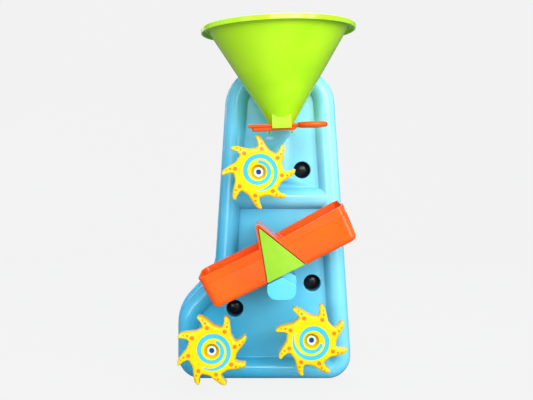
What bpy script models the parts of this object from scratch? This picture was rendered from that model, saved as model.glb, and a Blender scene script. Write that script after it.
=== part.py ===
# Wall-mounted water wheel toy: a moulded panel on suction cups carries a funnel with a slide
# gate, three star wheels and a pair of scoops that tips to and fro.
# Units are metres. X runs to the right, the front faces -Y and Z is up.
# The wall is the plane y = 0, and "front" means the distance in front of it, which is -y.
# The origin is the point of the wall behind the pivot of the tipping scoops.

from math import asin, copysign, cos, pi, radians, sin, tan

import bmesh
import bpy
from mathutils import Matrix, Vector

# Fits
GAP = 0.0003                  # between pieces that touch or run on each other

# Panel outline, seen from the front
PANEL_WALL = 0.0024
PANEL_TOP = 0.2275            # above the pivot
PANEL_BOTTOM = 0.1485         # below the pivot
PANEL_HALF_WIDTH = 0.0783     # at the pivot's height
PANEL_TAPER = 3.63            # degrees that each side leans in towards the top
PANEL_TOP_RADIUS = 0.050
PANEL_BOTTOM_RADIUS = 0.030
BULGE_REACH = 0.124           # left edge of the bulge from the middle
BULGE_SLOPE = 47.0            # degrees between the bulge's shoulder and the vertical
BULGE_DROP = 0.0356           # where the shoulder crosses BULGE_SHOULDER, below the pivot
BULGE_SHOULDER = 0.098        # from the middle
BULGE_RADIUS = 0.055
BULGE_FILLET = 0.035

# Panel depth
PANEL_BACK = 0.008            # back edge in front of the wall
PANEL_FLOOR = 0.038           # front face of the floor in front of the wall
FLANGE_WIDTH = 0.003          # step around the foot of the panel
FLANGE_THICKNESS = 0.003
RIM_WIDTH = 0.027             # from the outline to the inner foot of the half-round rim
RIM_HEIGHT = 0.013            # above the floor
RIDGE_Z = 0.0675              # middle of the cross ridge
RIDGE_WIDTH = 0.0245
RIDGE_HEIGHT = 0.0124
RIDGE_TUCK = 0.0005           # gap between the ridge's end and the line of the rim's crest

# Suction cups and the wells that hold them
CUP_CENTRES = {"top": (0.0256, 0.1008), "right": (0.0375, -0.0332), "left": (-0.0540, -0.0634)}
CUP_RADIUS = 0.021
CUP_LIP = 0.003               # width of the flat ring that meets the wall
CUP_HOLLOW = 0.0055
CUP_HEIGHT = 0.0113           # wall to the back of the well
CUP_NECK_RADIUS = 0.005
CUP_SHOULDER_RADIUS = 0.0078
CUP_HEAD_RADIUS = 0.0092
CUP_HEAD_HEIGHT = 0.0160
CUP_HEAD_DOME = 0.0049        # rounded part of the head
CUP_EDGE = 0.001              # height of the lip's outer edge
CUP_FLARE = 0.8               # power that curves the bell
CUP_SHARES = (0.35, 0.7, 1.0)   # where the bell's profile has its points
WELL_RADIUS = 0.010

# Star wheels and their pins
WHEEL_CENTRES = {"top": (-0.0253, 0.0992), "right": (0.0333, -0.0869), "left": (-0.0771, -0.0984)}
WHEEL_TURNS = {"top": 3.0, "right": -105.5, "left": -23.0}   # degrees to the first arm's tip
WHEEL_RADIUS = 0.0410
WHEEL_VALLEY = 0.0275         # radius between the arms
WHEEL_THICKNESS = 0.017
WHEEL_ROUNDING = 0.0030
WHEEL_RECESS_RADIUS = 0.008
WHEEL_RECESS_DEPTH = 0.008
WHEEL_POCKET_RADIUS = 0.0235  # hollow in the back
WHEEL_POCKET_FLOOR = 0.0042   # wall left in front of the hollow
WHEEL_HUB_RADIUS = 0.0100
ARM_COUNT = 8
ARM_TIP = 0.0029              # half-width near the tip
ARM_CURL = 13.5               # degrees that a tip leads its root
ARM_TAPER = 0.22              # power that narrows an arm
ARM_ROUND = 0.80              # share of an arm after which its tip is rounded
BOSS_RADIUS = 0.008
BOSS_LENGTH = 0.0492
PIN_RADIUS = 0.004
PIN_SEAT = 0.034              # length of pin inside its boss
PIN_HEAD_RADIUS = 0.0053
PIN_HEAD_HEIGHT = 0.0042
PIN_CHAMFER = 0.0007
PIN_HOLE_RADIUS = 0.0029
PIN_HOLE_DEPTH = 0.005

# Tipping scoops, in their own frame: u along the scoops, w upwards, pivot at the origin
SCOOP_TILT = 26.0             # degrees that the scoops lean either way
SCOOP_WALL = 0.0021
SCOOP_BASE = 0.0127           # underside below the pivot
SCOOP_TOP = 0.0250            # upper edge above the pivot
SCOOP_REACH = 0.0885          # outer end at the upper edge
SCOOP_DRAFT = 0.0022          # how much the underside is smaller on each side
SCOOP_DEPTH = 0.0695
SCOOP_CORNER = 0.0135         # rounding of the ends seen from above
SCOOP_EDGE = 0.0055           # rounding of the underside's edge
SCOOP_STANDOFF = 0.0155       # back face in front of the panel's floor
FRAME_HALF = 0.0244           # half-width inside the A-frame at the underside
FRAME_APEX_ANGLE = 22.6       # degrees between a leg and the A-frame's middle line
FRAME_LEAN_ANGLE = 3.4        # degrees that this line leans to the left
FRAME_APEX_RADIUS = 0.0028
FRAME_INNER_RADIUS = 0.0019
WEB_THICKNESS = 0.0024
WEB_RAISE = 0.0005            # lower edge of web and legs above the underside
CAP_THICKNESS = 0.0026
CAP_BEVEL = 0.0007
CAP_CLEARANCE = 0.0008        # around the cap
AXLE_RADIUS = 0.004
AXLE_HEAD_RADIUS = 0.0075
AXLE_HEAD_HEIGHT = 0.002
AXLE_SEAT = 0.026             # length of axle inside the back of the post
SLEEVE_WALL = 0.0027          # tube of the scoops that turns inside the post
SLEEVE_LENGTH = 0.044
POST_BOSS_RADIUS = 0.0103
POST_BOTTOM = 0.041           # below the pivot
POST_SHOULDER = 0.014         # below the pivot, at the post's sides
POST_ROOF = 28.0              # degrees that the shoulders slope
POST_BOTTOM_RADIUS = 0.008
POST_TOP_RADIUS = 0.0045
STOP_SETBACK = 0.0008         # front of the post's stop behind the front of the scoops
STOP_RADIUS = 0.0030          # corners of its roof

# Funnel
FUNNEL_STANDOFF = 0.0538      # funnel's middle line in front of the rim's crest
FUNNEL_WALL = 0.0022
FUNNEL_TOP = 0.2585           # above the pivot
FUNNEL_NECK = 0.1535          # where the cone starts
FUNNEL_NECK_RADIUS = 0.014
FUNNEL_HALF_ANGLE = 31.6      # degrees between the cone and the vertical
FUNNEL_FLANGE = 0.0075        # width of the flange around the cone's mouth
FUNNEL_LIP = 0.0055           # height of the turned-down lip
FUNNEL_LIP_WALL = 0.002
FUNNEL_LIP_ROUNDING = 0.0007
FUNNEL_LEAN_ANGLE = 2.0       # degrees that the funnel leans to the left in its slots
OUTLET_RADIUS = 0.0105
HOOK_ARM_X = 0.0134           # hook arms on either side of the middle
HOOK_ARM_THICKNESS = 0.003
HOOK_ARM_DROP = 0.0045        # underside below the cone's start
HOOK_ARM_RISE = 0.0245        # upper edge above the cone's start
HOOK_THICKNESS = 0.003
HOOK_RISE = 0.0115            # top of a hook above the cone's start
HOOK_DROP = 0.0038            # how far a hook reaches below its slot
SLOT_DROP = 0.0095            # lower end of a slot below the cone's start
SLOT_RISE = 0.0185            # upper end of a slot above the cone's start
SLOT_PLAY = 0.0005            # extra room around a hook, which lets the funnel lean

# Slide gate
GATE_DROP = 0.0015            # top of its plate below the cone's start
GATE_PLATE = 0.0029           # thickness of the plate
GATE_KEEL = 0.0040            # height of the keel below the plate
GATE_HALF_DEPTH = 0.0145
GATE_LEDGE = 0.0018           # width of plate that rests on each guide
GATE_LEFT = 0.037             # left end from the middle
GATE_STOP = 0.003             # length of the stop at the left end
GATE_STOP_REACH = 0.0015      # how far the stop stands out of the plate
GATE_TRAVEL = 0.0232
GATE_HOLE_RADIUS = 0.0090
GUIDE_HALF_WIDTH = 0.0105
GUIDE_WALL = 0.0021
GUIDE_RISE = 0.0045           # top of the guides above the cone's start
GUIDE_LEDGE = 0.0018          # thickness of the ledges under the gate
RING_RADIUS = 0.0172
RING_BORE = 0.0100
RING_HEIGHT = 0.0062
RING_ROUNDING = 0.0019
RING_CLEAR = 0.0025           # from the funnel's neck

# Faceting
CORNER_STEPS = 6
RIM_STEPS = 8
ROUND_STEPS = 26
FUNNEL_STEPS = 56
ARM_STEPS = 8
EDGE_STEPS = 2

# Places that follow from the sizes above
RIM_CREST = PANEL_FLOOR + RIM_HEIGHT
BOSS_FRONT = PANEL_FLOOR + BOSS_LENGTH
WHEEL_MIDDLE = BOSS_FRONT + GAP + WHEEL_THICKNESS / 2
FUNNEL_FRONT = RIM_CREST + FUNNEL_STANDOFF
SCOOP_FRONT = PANEL_FLOOR + SCOOP_STANDOFF + SCOOP_DEPTH
SCOOP_MIDDLE = SCOOP_FRONT - SCOOP_DEPTH / 2
CAP_BACK = SCOOP_FRONT - CAP_THICKNESS
HEAD_BACK = CAP_BACK - GAP - AXLE_HEAD_HEIGHT
WEB_FRONT = HEAD_BACK - GAP
WEB_BACK = WEB_FRONT - WEB_THICKNESS
POST_FRONT = WEB_BACK - GAP
STOP_FRONT = SCOOP_FRONT - STOP_SETBACK
SLEEVE_BACK = WEB_BACK - SLEEVE_LENGTH
SLEEVE_RADIUS = AXLE_RADIUS + GAP + SLEEVE_WALL
TILT = radians(SCOOP_TILT)
GATE_TOP = FUNNEL_NECK - GATE_DROP
HOOK_ARM_BOTTOM = FUNNEL_NECK - HOOK_ARM_DROP
HOOK_ARM_TOP = FUNNEL_NECK + HOOK_ARM_RISE
HOOK_TOP = FUNNEL_NECK + HOOK_RISE
SLOT_BOTTOM = FUNNEL_NECK - SLOT_DROP
SLOT_TOP = FUNNEL_NECK + SLOT_RISE
FRONTWARD = Vector((0.0, -1.0, 0.0))
UPWARD = Vector((0.0, 0.0, 1.0))

COLOURS = {
    "panel blue": (0.20, 0.66, 0.86),
    "pin blue": (0.62, 0.84, 0.90),
    "rubber black": (0.018, 0.018, 0.021),
    "funnel green": (0.45, 0.80, 0.03),
    "gate orange": (0.90, 0.17, 0.01),
    "wheel yellow": (0.97, 0.77, 0.02),
    "scoop orange": (1.00, 0.15, 0.01),
    "cap green": (0.40, 0.72, 0.05),
}
ROUGHNESS = {"rubber black": 0.55}


def facing(degrees):
    """Unit vector at an angle from the first axis of a plane."""
    return Vector((cos(radians(degrees)), sin(radians(degrees))))


def at(x, front, z):
    return Vector((x, -front, z))


def outline(sides, inset=0.0):
    """Closed outline, counter-clockwise, moved in by inset.

    A side is (degrees that it faces, a point on it, radius of the corner after it).
    """
    points = []
    for index, (faces, through, radius) in enumerate(sides):
        next_faces, next_through, _ = sides[(index + 1) % len(sides)]
        turn = (next_faces - faces + 180.0) % 360.0 - 180.0
        signed = copysign(radius, turn)
        one = facing(faces)
        two = facing(next_faces)
        reach_one = one.dot(Vector(through)) - signed
        reach_two = two.dot(Vector(next_through)) - signed
        cross = one.x * two.y - one.y * two.x
        centre = Vector((reach_one * two.y - reach_two * one.y, reach_two * one.x - reach_one * two.x))
        centre /= cross
        if radius == 0.0:
            points.append(centre - inset * (one + two) / (1.0 + one.dot(two)))
            continue
        for step in range(CORNER_STEPS + 1):
            points.append(centre + (signed - inset) * facing(faces + turn * step / CORNER_STEPS))
    return points


def circle(radius, centre=(0.0, 0.0), steps=ROUND_STEPS):
    return [Vector(centre) + radius * facing(360.0 * step / steps) for step in range(steps)]


def smooth(mesh, angle=35.0):
    mesh.shade_smooth()
    mesh.set_sharp_from_angle(angle=radians(angle))


def mesh_of(bm, name):
    bmesh.ops.recalc_face_normals(bm, faces=bm.faces)
    mesh = bpy.data.meshes.new(name)
    bm.to_mesh(mesh)
    bm.free()
    return mesh


def loft(rings, name):
    """Closed skin over rings of equally many points, with flat ends."""
    bm = bmesh.new()
    loops = [[bm.verts.new(point) for point in ring] for ring in rings]
    for lower, upper in zip(loops, loops[1:]):
        for index in range(len(lower)):
            following = (index + 1) % len(lower)
            bm.faces.new((lower[index], lower[following], upper[following], upper[index]))
    bm.faces.new(loops[0])
    bm.faces.new(loops[-1])
    return mesh_of(bm, name)


def prism(points, back, front, name):
    """Outline in X and Z carried from one front to another."""
    return loft([[at(p.x, level, p.y) for p in points] for level in (back, front)], name)


def upright(points, bottom, top, name):
    """Outline in X and Y carried from one height to another."""
    return loft([[Vector((p.x, p.y, level)) for p in points] for level in (bottom, top)], name)


def block(low, high, name):
    corners = [Vector((low[0], low[1])), Vector((high[0], low[1])),
               Vector((high[0], high[1])), Vector((low[0], high[1]))]
    return upright(corners, low[2], high[2], name)


def turned(profile, axis, steps, name):
    """Profile of (radius, height) spun about an axis; its two ends lie on the axis or meet."""
    across = Vector((1.0, 0.0, 0.0))
    bm = bmesh.new()
    points = [bm.verts.new(across * radius + axis * height) for radius, height in profile]
    edges = [bm.edges.new(pair) for pair in zip(points, points[1:])]
    if profile[0][0] > 0.0:
        edges.append(bm.edges.new((points[-1], points[0])))
    bmesh.ops.spin(bm, geom=points + edges, cent=(0, 0, 0), axis=axis, dvec=(0, 0, 0),
                   angle=2 * pi, steps=steps, use_merge=True, use_duplicate=False)
    bmesh.ops.remove_doubles(bm, verts=bm.verts, dist=1e-7)
    return mesh_of(bm, name)


def helper(mesh):
    """Hidden object that only shapes another one."""
    tool = bpy.data.objects.new(mesh.name, mesh)
    bpy.context.scene.collection.objects.link(tool)
    tool.hide_render = True
    tool.display_type = "WIRE"
    return tool


def combine(mesh, others, operation):
    """Boolean of a mesh with each of the others in turn, by the exact solver."""
    target = helper(mesh)
    tools = [helper(other) for other in others]
    for tool in tools:
        step = target.modifiers.new(operation.lower(), "BOOLEAN")
        step.operation = operation
        step.solver = "EXACT"
        step.object = tool
    depsgraph = bpy.context.evaluated_depsgraph_get()
    result = bpy.data.meshes.new_from_object(target.evaluated_get(depsgraph))
    result.name = mesh.name
    for used in [target] + tools:
        bpy.data.objects.remove(used)
    return result


def moved(mesh, offset):
    mesh.transform(Matrix.Translation(offset))
    return mesh


def material(name):
    made = bpy.data.materials.get(name)
    if made is None:
        made = bpy.data.materials.new(name)
        made.use_nodes = True
        shader = made.node_tree.nodes["Principled BSDF"]
        shader.inputs["Base Color"].default_value = (*COLOURS[name], 1.0)
        shader.inputs["Roughness"].default_value = ROUGHNESS.get(name, 0.22)
        shader.inputs["Metallic"].default_value = 0.0
    return made


def piece(name, mesh, colour, location=(0, 0, 0), parent=None, turn=0.0):
    """Named object; turn is in degrees about Y, clockwise seen from the front."""
    made = bpy.data.objects.new(name, mesh)
    bpy.context.scene.collection.objects.link(made)
    made.location = location
    made.rotation_euler = (0.0, radians(turn), 0.0)
    made.parent = parent
    if not mesh.materials:
        mesh.materials.append(material(colour))
    smooth(mesh)
    return made


def pivot(name, location, turn=0.0):
    """Empty on a joint's axis."""
    made = bpy.data.objects.new(name, None)
    bpy.context.scene.collection.objects.link(made)
    made.location = location
    made.rotation_euler = (0.0, radians(turn), 0.0)
    return made


def panel_sides():
    right = PANEL_TAPER
    left = 180.0 - PANEL_TAPER
    return [
        (right, (PANEL_HALF_WIDTH, 0.0), PANEL_TOP_RADIUS),
        (90.0, (0.0, PANEL_TOP), PANEL_TOP_RADIUS),
        (left, (-PANEL_HALF_WIDTH, 0.0), BULGE_FILLET),
        (90.0 + BULGE_SLOPE, (-BULGE_SHOULDER, -BULGE_DROP), BULGE_RADIUS),
        (180.0, (-BULGE_REACH, 0.0), PANEL_BOTTOM_RADIUS),
        (270.0, (0.0, -PANEL_BOTTOM), PANEL_BOTTOM_RADIUS),
    ]


def half_round(foot, width, height):
    """Points (inset, front) over a half-round rim on the panel's floor."""
    points = []
    for step in range(RIM_STEPS + 1):
        angle = pi * step / RIM_STEPS
        points.append((foot + width / 2 * (1 - cos(angle)), PANEL_FLOOR + height * sin(angle)))
    return points


def panel_solid(profile, name):
    rings = []
    for inset, front in profile:
        rings.append([at(p.x, front, p.y) for p in outline(panel_sides(), inset)])
    return loft(rings, name)


def ridge_solid(width, height, foot, name):
    """Half-round bar across the panel, ending under the crest of the rim on both sides."""
    crest = (FLANGE_WIDTH + RIM_WIDTH) / 2
    end = PANEL_HALF_WIDTH - RIDGE_Z * tan(radians(PANEL_TAPER)) - crest - RIDGE_TUCK
    section = [(-width / 2, foot)]
    for step in range(RIM_STEPS + 1):
        angle = pi * step / RIM_STEPS
        section.append((-width / 2 * cos(angle), PANEL_FLOOR + height * sin(angle)))
    section.append((width / 2, foot))
    return loft([[at(x, front, RIDGE_Z + z) for z, front in section] for x in (-end, end)], name)


def post_sides(half):
    roof = 90.0 - POST_ROOF
    return [
        (0.0, (half, 0.0), POST_TOP_RADIUS),
        (roof, (half, -POST_SHOULDER), POST_TOP_RADIUS),
        (180.0 - roof, (-half, -POST_SHOULDER), POST_TOP_RADIUS),
        (180.0, (-half, 0.0), POST_BOTTOM_RADIUS),
        (270.0, (0.0, -POST_BOTTOM), POST_BOTTOM_RADIUS),
    ]


def stop_sides(half):
    """Front of the post below the scoops, with a roof for their underside at either tilt."""
    roof = 90.0 - SCOOP_TILT
    right = -SCOOP_BASE * facing(roof)
    left = -SCOOP_BASE * facing(180.0 - roof)
    return [
        (0.0, (half, 0.0), STOP_RADIUS),
        (roof, right, STOP_RADIUS),
        (180.0 - roof, left, STOP_RADIUS),
        (180.0, (-half, 0.0), POST_BOTTOM_RADIUS),
        (270.0, (0.0, -POST_BOTTOM), POST_BOTTOM_RADIUS),
    ]


def make_panel():
    """Shell with a half-round rim and ridge, wells, bosses, the post and the hook slots."""
    outer = [(0.0, PANEL_BACK), (0.0, PANEL_BACK + FLANGE_THICKNESS),
             (FLANGE_WIDTH, PANEL_BACK + FLANGE_THICKNESS)]
    outer += half_round(FLANGE_WIDTH, RIM_WIDTH - FLANGE_WIDTH, RIM_HEIGHT)
    foot = FLANGE_WIDTH + PANEL_WALL
    inner = [(foot, PANEL_BACK - PANEL_WALL)]
    inner += half_round(foot, RIM_WIDTH - PANEL_WALL - foot, RIM_HEIGHT - PANEL_WALL)
    inner += [(RIM_WIDTH - PANEL_WALL, PANEL_FLOOR - PANEL_WALL)]
    in_floor = PANEL_FLOOR - PANEL_WALL / 2
    behind = PANEL_FLOOR - 2 * PANEL_WALL
    shell = combine(panel_solid(outer, "panel"),
                    [ridge_solid(RIDGE_WIDTH, RIDGE_HEIGHT, in_floor, "ridge")], "UNION")
    hollow = combine(panel_solid(inner, "hollow"),
                     [ridge_solid(RIDGE_WIDTH - 2 * PANEL_WALL, RIDGE_HEIGHT - PANEL_WALL,
                                  behind, "ridge_hollow")], "UNION")
    shell = combine(shell, [hollow], "DIFFERENCE")

    post_half = FRAME_HALF * cos(TILT) - SCOOP_BASE * sin(TILT) - GAP
    added = [
        prism(outline(post_sides(post_half)), in_floor, POST_FRONT, "post"),
        prism(circle(POST_BOSS_RADIUS), in_floor, POST_FRONT, "post_boss"),
        prism(outline(stop_sides(post_half), GAP), POST_FRONT - PANEL_WALL, STOP_FRONT, "post_stop"),
    ]
    seat = SLEEVE_BACK - GAP
    bore_end = seat - AXLE_SEAT - GAP
    post_bore = [(0, bore_end), (AXLE_RADIUS + GAP, bore_end), (AXLE_RADIUS + GAP, seat),
                 (SLEEVE_RADIUS + GAP, seat), (SLEEVE_RADIUS + GAP, POST_FRONT + GAP),
                 (0, POST_FRONT + GAP)]
    removed = [turned(post_bore, FRONTWARD, ROUND_STEPS, "post_bore")]
    well_floor = CUP_HEIGHT + PANEL_WALL
    well_bore = [(0, CUP_HEIGHT - GAP), (CUP_NECK_RADIUS + GAP, CUP_HEIGHT - GAP),
                 (CUP_NECK_RADIUS + GAP, well_floor), (WELL_RADIUS, well_floor),
                 (WELL_RADIUS, RIM_CREST), (0, RIM_CREST)]
    for x, z in CUP_CENTRES.values():
        added.append(prism(circle(WELL_RADIUS + PANEL_WALL, (x, z)), CUP_HEIGHT, in_floor, "well"))
        removed.append(moved(turned(well_bore, FRONTWARD, ROUND_STEPS, "well_bore"), (x, 0, z)))
    for x, z in WHEEL_CENTRES.values():
        added.append(prism(circle(BOSS_RADIUS, (x, z)), in_floor, BOSS_FRONT, "boss"))
        removed.append(prism(circle(PIN_RADIUS + GAP, (x, z)), BOSS_FRONT - PIN_SEAT - GAP,
                             BOSS_FRONT + GAP, "boss_bore"))
    for side in (-1, 1):
        half = HOOK_ARM_THICKNESS / 2 + GAP + SLOT_PLAY
        low = (side * HOOK_ARM_X - half, -PANEL_FLOOR - PANEL_WALL, SLOT_BOTTOM - SLOT_PLAY)
        high = (side * HOOK_ARM_X + half, -PANEL_FLOOR + 2 * PANEL_WALL, SLOT_TOP)
        removed.append(block(low, high, "slot"))
    shell = combine(shell, added, "UNION")
    shell = combine(shell, removed, "DIFFERENCE")
    piece("panel", shell, "panel blue")


def make_cups():
    """Rubber cups: a hollow bell against the wall, a neck through the well, a head inside it."""
    seat = CUP_HEIGHT - GAP
    neck_end = CUP_HEIGHT + PANEL_WALL + GAP
    head_end = neck_end + CUP_HEAD_HEIGHT
    profile = [(0.0, CUP_HOLLOW)]
    for share in CUP_SHARES:
        profile.append(((CUP_RADIUS - CUP_LIP) * share, CUP_HOLLOW * (1 - share ** 2)))
    profile += [(CUP_RADIUS, 0.0), (CUP_RADIUS, CUP_EDGE)]
    for share in CUP_SHARES:
        radius = CUP_RADIUS + (CUP_SHOULDER_RADIUS - CUP_RADIUS) * share
        profile.append((radius, CUP_EDGE + (seat - CUP_EDGE) * share ** CUP_FLARE))
    profile += [(CUP_NECK_RADIUS, seat), (CUP_NECK_RADIUS, neck_end), (CUP_HEAD_RADIUS, neck_end)]
    for step in range(EDGE_STEPS + 1):
        angle = pi / 2 * step / (EDGE_STEPS + 1)
        profile.append((CUP_HEAD_RADIUS * cos(angle), head_end - CUP_HEAD_DOME * (1 - sin(angle))))
    profile.append((0.0, head_end))
    mesh = turned(profile, FRONTWARD, ROUND_STEPS, "suction_cup")
    for name, (x, z) in CUP_CENTRES.items():
        piece(f"suction_cup_{name}", mesh, "rubber black", (x, 0, z))


def star(inset):
    """Outline of the wheel: arms that narrow and curl counter-clockwise to round tips."""
    valley = WHEEL_VALLEY - inset
    tip = WHEEL_RADIUS - inset / 2
    root_half = WHEEL_VALLEY * sin(pi / ARM_COUNT)
    slim = 1 - inset / root_half
    points = []
    for arm in range(ARM_COUNT):
        middle = 2 * pi * arm / ARM_COUNT - radians(ARM_CURL)
        sides = ([], [])
        for step in range(ARM_STEPS + 1):
            share = sin(pi / 2 * step / ARM_STEPS) ** 2
            radius = valley + (tip - valley) * share
            half = root_half + (ARM_TIP - root_half) * share ** ARM_TAPER
            if share > ARM_ROUND:
                half *= (1 - ((share - ARM_ROUND) / (1 - ARM_ROUND)) ** 2) ** 0.5
            spread = asin(half / (WHEEL_VALLEY + (WHEEL_RADIUS - WHEEL_VALLEY) * share))
            spread *= slim + (1 - slim) * (1 - share) ** ARM_ROUND
            lean = middle + radians(ARM_CURL) * share
            for side, way in zip(sides, (-1, 1)):
                side.append(radius * Vector((cos(lean + way * spread), sin(lean + way * spread))))
        points += sides[0]
        points += sides[1][-2:0:-1]
    return points


def make_wheels():
    """Star wheels with a hub recess in front and a hollow back, each held by a hollow pin."""
    half = WHEEL_THICKNESS / 2
    rings = []
    for step in range(EDGE_STEPS + 1):
        angle = pi / 2 * step / EDGE_STEPS
        rings.append((WHEEL_ROUNDING * (1 - cos(angle)), half - WHEEL_ROUNDING * (1 - sin(angle))))
    levels = [(inset, -front) for inset, front in rings] + rings[::-1]
    ordered = sorted(levels, key=lambda level: level[1])
    body = loft([[at(p.x, front, p.y) for p in star(inset)] for inset, front in ordered], "star_wheel")
    recess_floor = half - WHEEL_RECESS_DEPTH
    bore = turned([(0, -half - GAP), (PIN_RADIUS + GAP, -half - GAP), (PIN_RADIUS + GAP, recess_floor),
                   (WHEEL_RECESS_RADIUS, recess_floor), (WHEEL_RECESS_RADIUS, half + GAP),
                   (0, half + GAP)], FRONTWARD, ROUND_STEPS, "wheel_bore")
    pocket = turned([(WHEEL_HUB_RADIUS, -half - GAP), (WHEEL_POCKET_RADIUS, -half - GAP),
                     (WHEEL_POCKET_RADIUS, half - WHEEL_POCKET_FLOOR),
                     (WHEEL_HUB_RADIUS, half - WHEEL_POCKET_FLOOR)],
                    FRONTWARD, ROUND_STEPS, "wheel_pocket")
    mesh = combine(body, [bore, pocket], "DIFFERENCE")

    head_back = WHEEL_MIDDLE + recess_floor + GAP
    head_front = head_back + PIN_HEAD_HEIGHT
    end = BOSS_FRONT - PIN_SEAT
    pin = turned([(0, end), (PIN_RADIUS, end), (PIN_RADIUS, head_back), (PIN_HEAD_RADIUS, head_back),
                  (PIN_HEAD_RADIUS, head_front - PIN_CHAMFER),
                  (PIN_HEAD_RADIUS - PIN_CHAMFER, head_front), (PIN_HOLE_RADIUS, head_front),
                  (PIN_HOLE_RADIUS, head_front - PIN_HOLE_DEPTH),
                  (0, head_front - PIN_HOLE_DEPTH)], FRONTWARD, ROUND_STEPS, "wheel_pin")
    for name, (x, z) in WHEEL_CENTRES.items():
        axis = pivot(f"wheel_axis_{name}", (x, -WHEEL_MIDDLE, z))
        piece(f"star_wheel_{name}", mesh, "wheel yellow", parent=axis, turn=-WHEEL_TURNS[name])
        piece(f"wheel_pin_{name}", pin, "pin blue", (x, 0, z))


def frame_sides(half, bottom, radius):
    """A-frame outline in u and w; half is its half-width at the underside."""
    return [
        (FRAME_APEX_ANGLE + FRAME_LEAN_ANGLE, (half, -SCOOP_BASE), radius),
        (180.0 - FRAME_APEX_ANGLE + FRAME_LEAN_ANGLE, (-half, -SCOOP_BASE), 0.0),
        (270.0, (0.0, -bottom), 0.0),
    ]


def plan(low, high, half_depth, inner_radius, outer_radius):
    """Rounded outline of a scoop in u and y."""
    return outline([
        (0.0, (high, 0.0), outer_radius),
        (90.0, (0.0, half_depth), inner_radius),
        (180.0, (low, 0.0), inner_radius),
        (270.0, (0.0, -half_depth), outer_radius),
    ])


def make_scoops():
    """Two scoops on an A-frame, in one moulding, with a sleeve that turns inside the post."""
    height = SCOOP_TOP + SCOOP_BASE
    frame_outer = FRAME_HALF + SCOOP_WALL / cos(radians(FRAME_APEX_ANGLE))
    middle = SCOOP_MIDDLE

    def draft(w):
        return SCOOP_DRAFT * (SCOOP_TOP - w) / height

    def ring(points, w, mirror=1):
        return [Vector((mirror * p.x, p.y - middle, w)) for p in points]

    tub = []
    for step in range(EDGE_STEPS + 1):
        angle = pi / 2 * step / EDGE_STEPS
        w = -SCOOP_BASE + SCOOP_EDGE * (1 - cos(angle))
        inset = draft(w) + SCOOP_EDGE * (1 - sin(angle))
        tub.append(ring(plan(inset - SCOOP_REACH, SCOOP_REACH - inset, SCOOP_DEPTH / 2 - inset,
                             SCOOP_CORNER - inset, SCOOP_CORNER - inset), w))
    mouth = plan(-SCOOP_REACH, SCOOP_REACH, SCOOP_DEPTH / 2, SCOOP_CORNER, SCOOP_CORNER)
    tub.append(ring(mouth, SCOOP_TOP))
    body = loft(tub, "seesaw_scoops")

    floor = SCOOP_WALL - SCOOP_BASE
    edge = SCOOP_EDGE - SCOOP_WALL
    levels = []
    for step in range(EDGE_STEPS + 1):
        angle = pi / 2 * step / EDGE_STEPS
        levels.append((floor + edge * (1 - cos(angle)), edge * (1 - sin(angle))))
    levels.append((SCOOP_TOP + SCOOP_WALL, 0.0))
    cavities = []
    for mirror in (-1, 1):
        slope = tan(radians(FRAME_APEX_ANGLE + mirror * FRAME_LEAN_ANGLE))
        rings = []
        for w, rounding in levels:
            inset = draft(w) + SCOOP_WALL + rounding
            inner = FRAME_HALF + SCOOP_WALL / 2 - (w + SCOOP_BASE) * slope
            rings.append(ring(plan(inner, SCOOP_REACH - inset, SCOOP_DEPTH / 2 - inset,
                                   SCOOP_WALL, SCOOP_CORNER - inset), w, mirror))
        cavities.append(loft(rings, "scoop_cavity"))
    legs = prism(outline(frame_sides(frame_outer, SCOOP_BASE - WEB_RAISE, FRAME_APEX_RADIUS)),
                 SCOOP_FRONT - SCOOP_DEPTH, SCOOP_FRONT, "legs")
    tunnel = prism(outline(frame_sides(FRAME_HALF, SCOOP_BASE + SCOOP_EDGE, FRAME_INNER_RADIUS)),
                   SCOOP_FRONT - SCOOP_DEPTH - GAP, SCOOP_FRONT + GAP, "tunnel")
    web = prism(outline(frame_sides(FRAME_HALF + SCOOP_WALL / 2, SCOOP_BASE - WEB_RAISE,
                                    FRAME_INNER_RADIUS + SCOOP_WALL / 2)), WEB_BACK, WEB_FRONT, "web")
    sleeve = prism(circle(SLEEVE_RADIUS), SLEEVE_BACK, WEB_BACK + WEB_THICKNESS / 2, "sleeve")
    bore = prism(circle(AXLE_RADIUS + GAP), SLEEVE_BACK - GAP, WEB_FRONT + GAP, "sleeve_bore")
    body = combine(body, cavities, "DIFFERENCE")
    body = combine(body, [legs], "UNION")
    body = combine(body, [tunnel], "DIFFERENCE")
    body = combine(body, [web, sleeve], "UNION")
    body = combine(body, [bore], "DIFFERENCE")

    axis = pivot("seesaw_axis", (0, 0, 0), -SCOOP_TILT)
    piece("seesaw_scoops", body, "scoop orange", parent=axis)
    opening = frame_sides(FRAME_HALF, SCOOP_BASE, FRAME_INNER_RADIUS)
    cap_outline = outline(opening, CAP_CLEARANCE)
    edge_outline = outline(opening, CAP_CLEARANCE + CAP_BEVEL)
    cap = loft([[at(p.x, CAP_BACK, p.y) for p in cap_outline],
                [at(p.x, SCOOP_FRONT - CAP_BEVEL, p.y) for p in cap_outline],
                [at(p.x, SCOOP_FRONT, p.y) for p in edge_outline]], "seesaw_cap")
    piece("seesaw_cap", cap, "cap green", parent=axis)

    end = SLEEVE_BACK - GAP - AXLE_SEAT
    head_front = HEAD_BACK + AXLE_HEAD_HEIGHT
    axle = turned([(0, end), (AXLE_RADIUS, end), (AXLE_RADIUS, HEAD_BACK),
                   (AXLE_HEAD_RADIUS, HEAD_BACK), (AXLE_HEAD_RADIUS, head_front),
                   (0, head_front)], FRONTWARD, ROUND_STEPS, "seesaw_axle")
    piece("seesaw_axle", axle, "pin blue")


def cone_radius(z):
    return FUNNEL_NECK_RADIUS + (z - FUNNEL_NECK) * tan(radians(FUNNEL_HALF_ANGLE))


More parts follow.
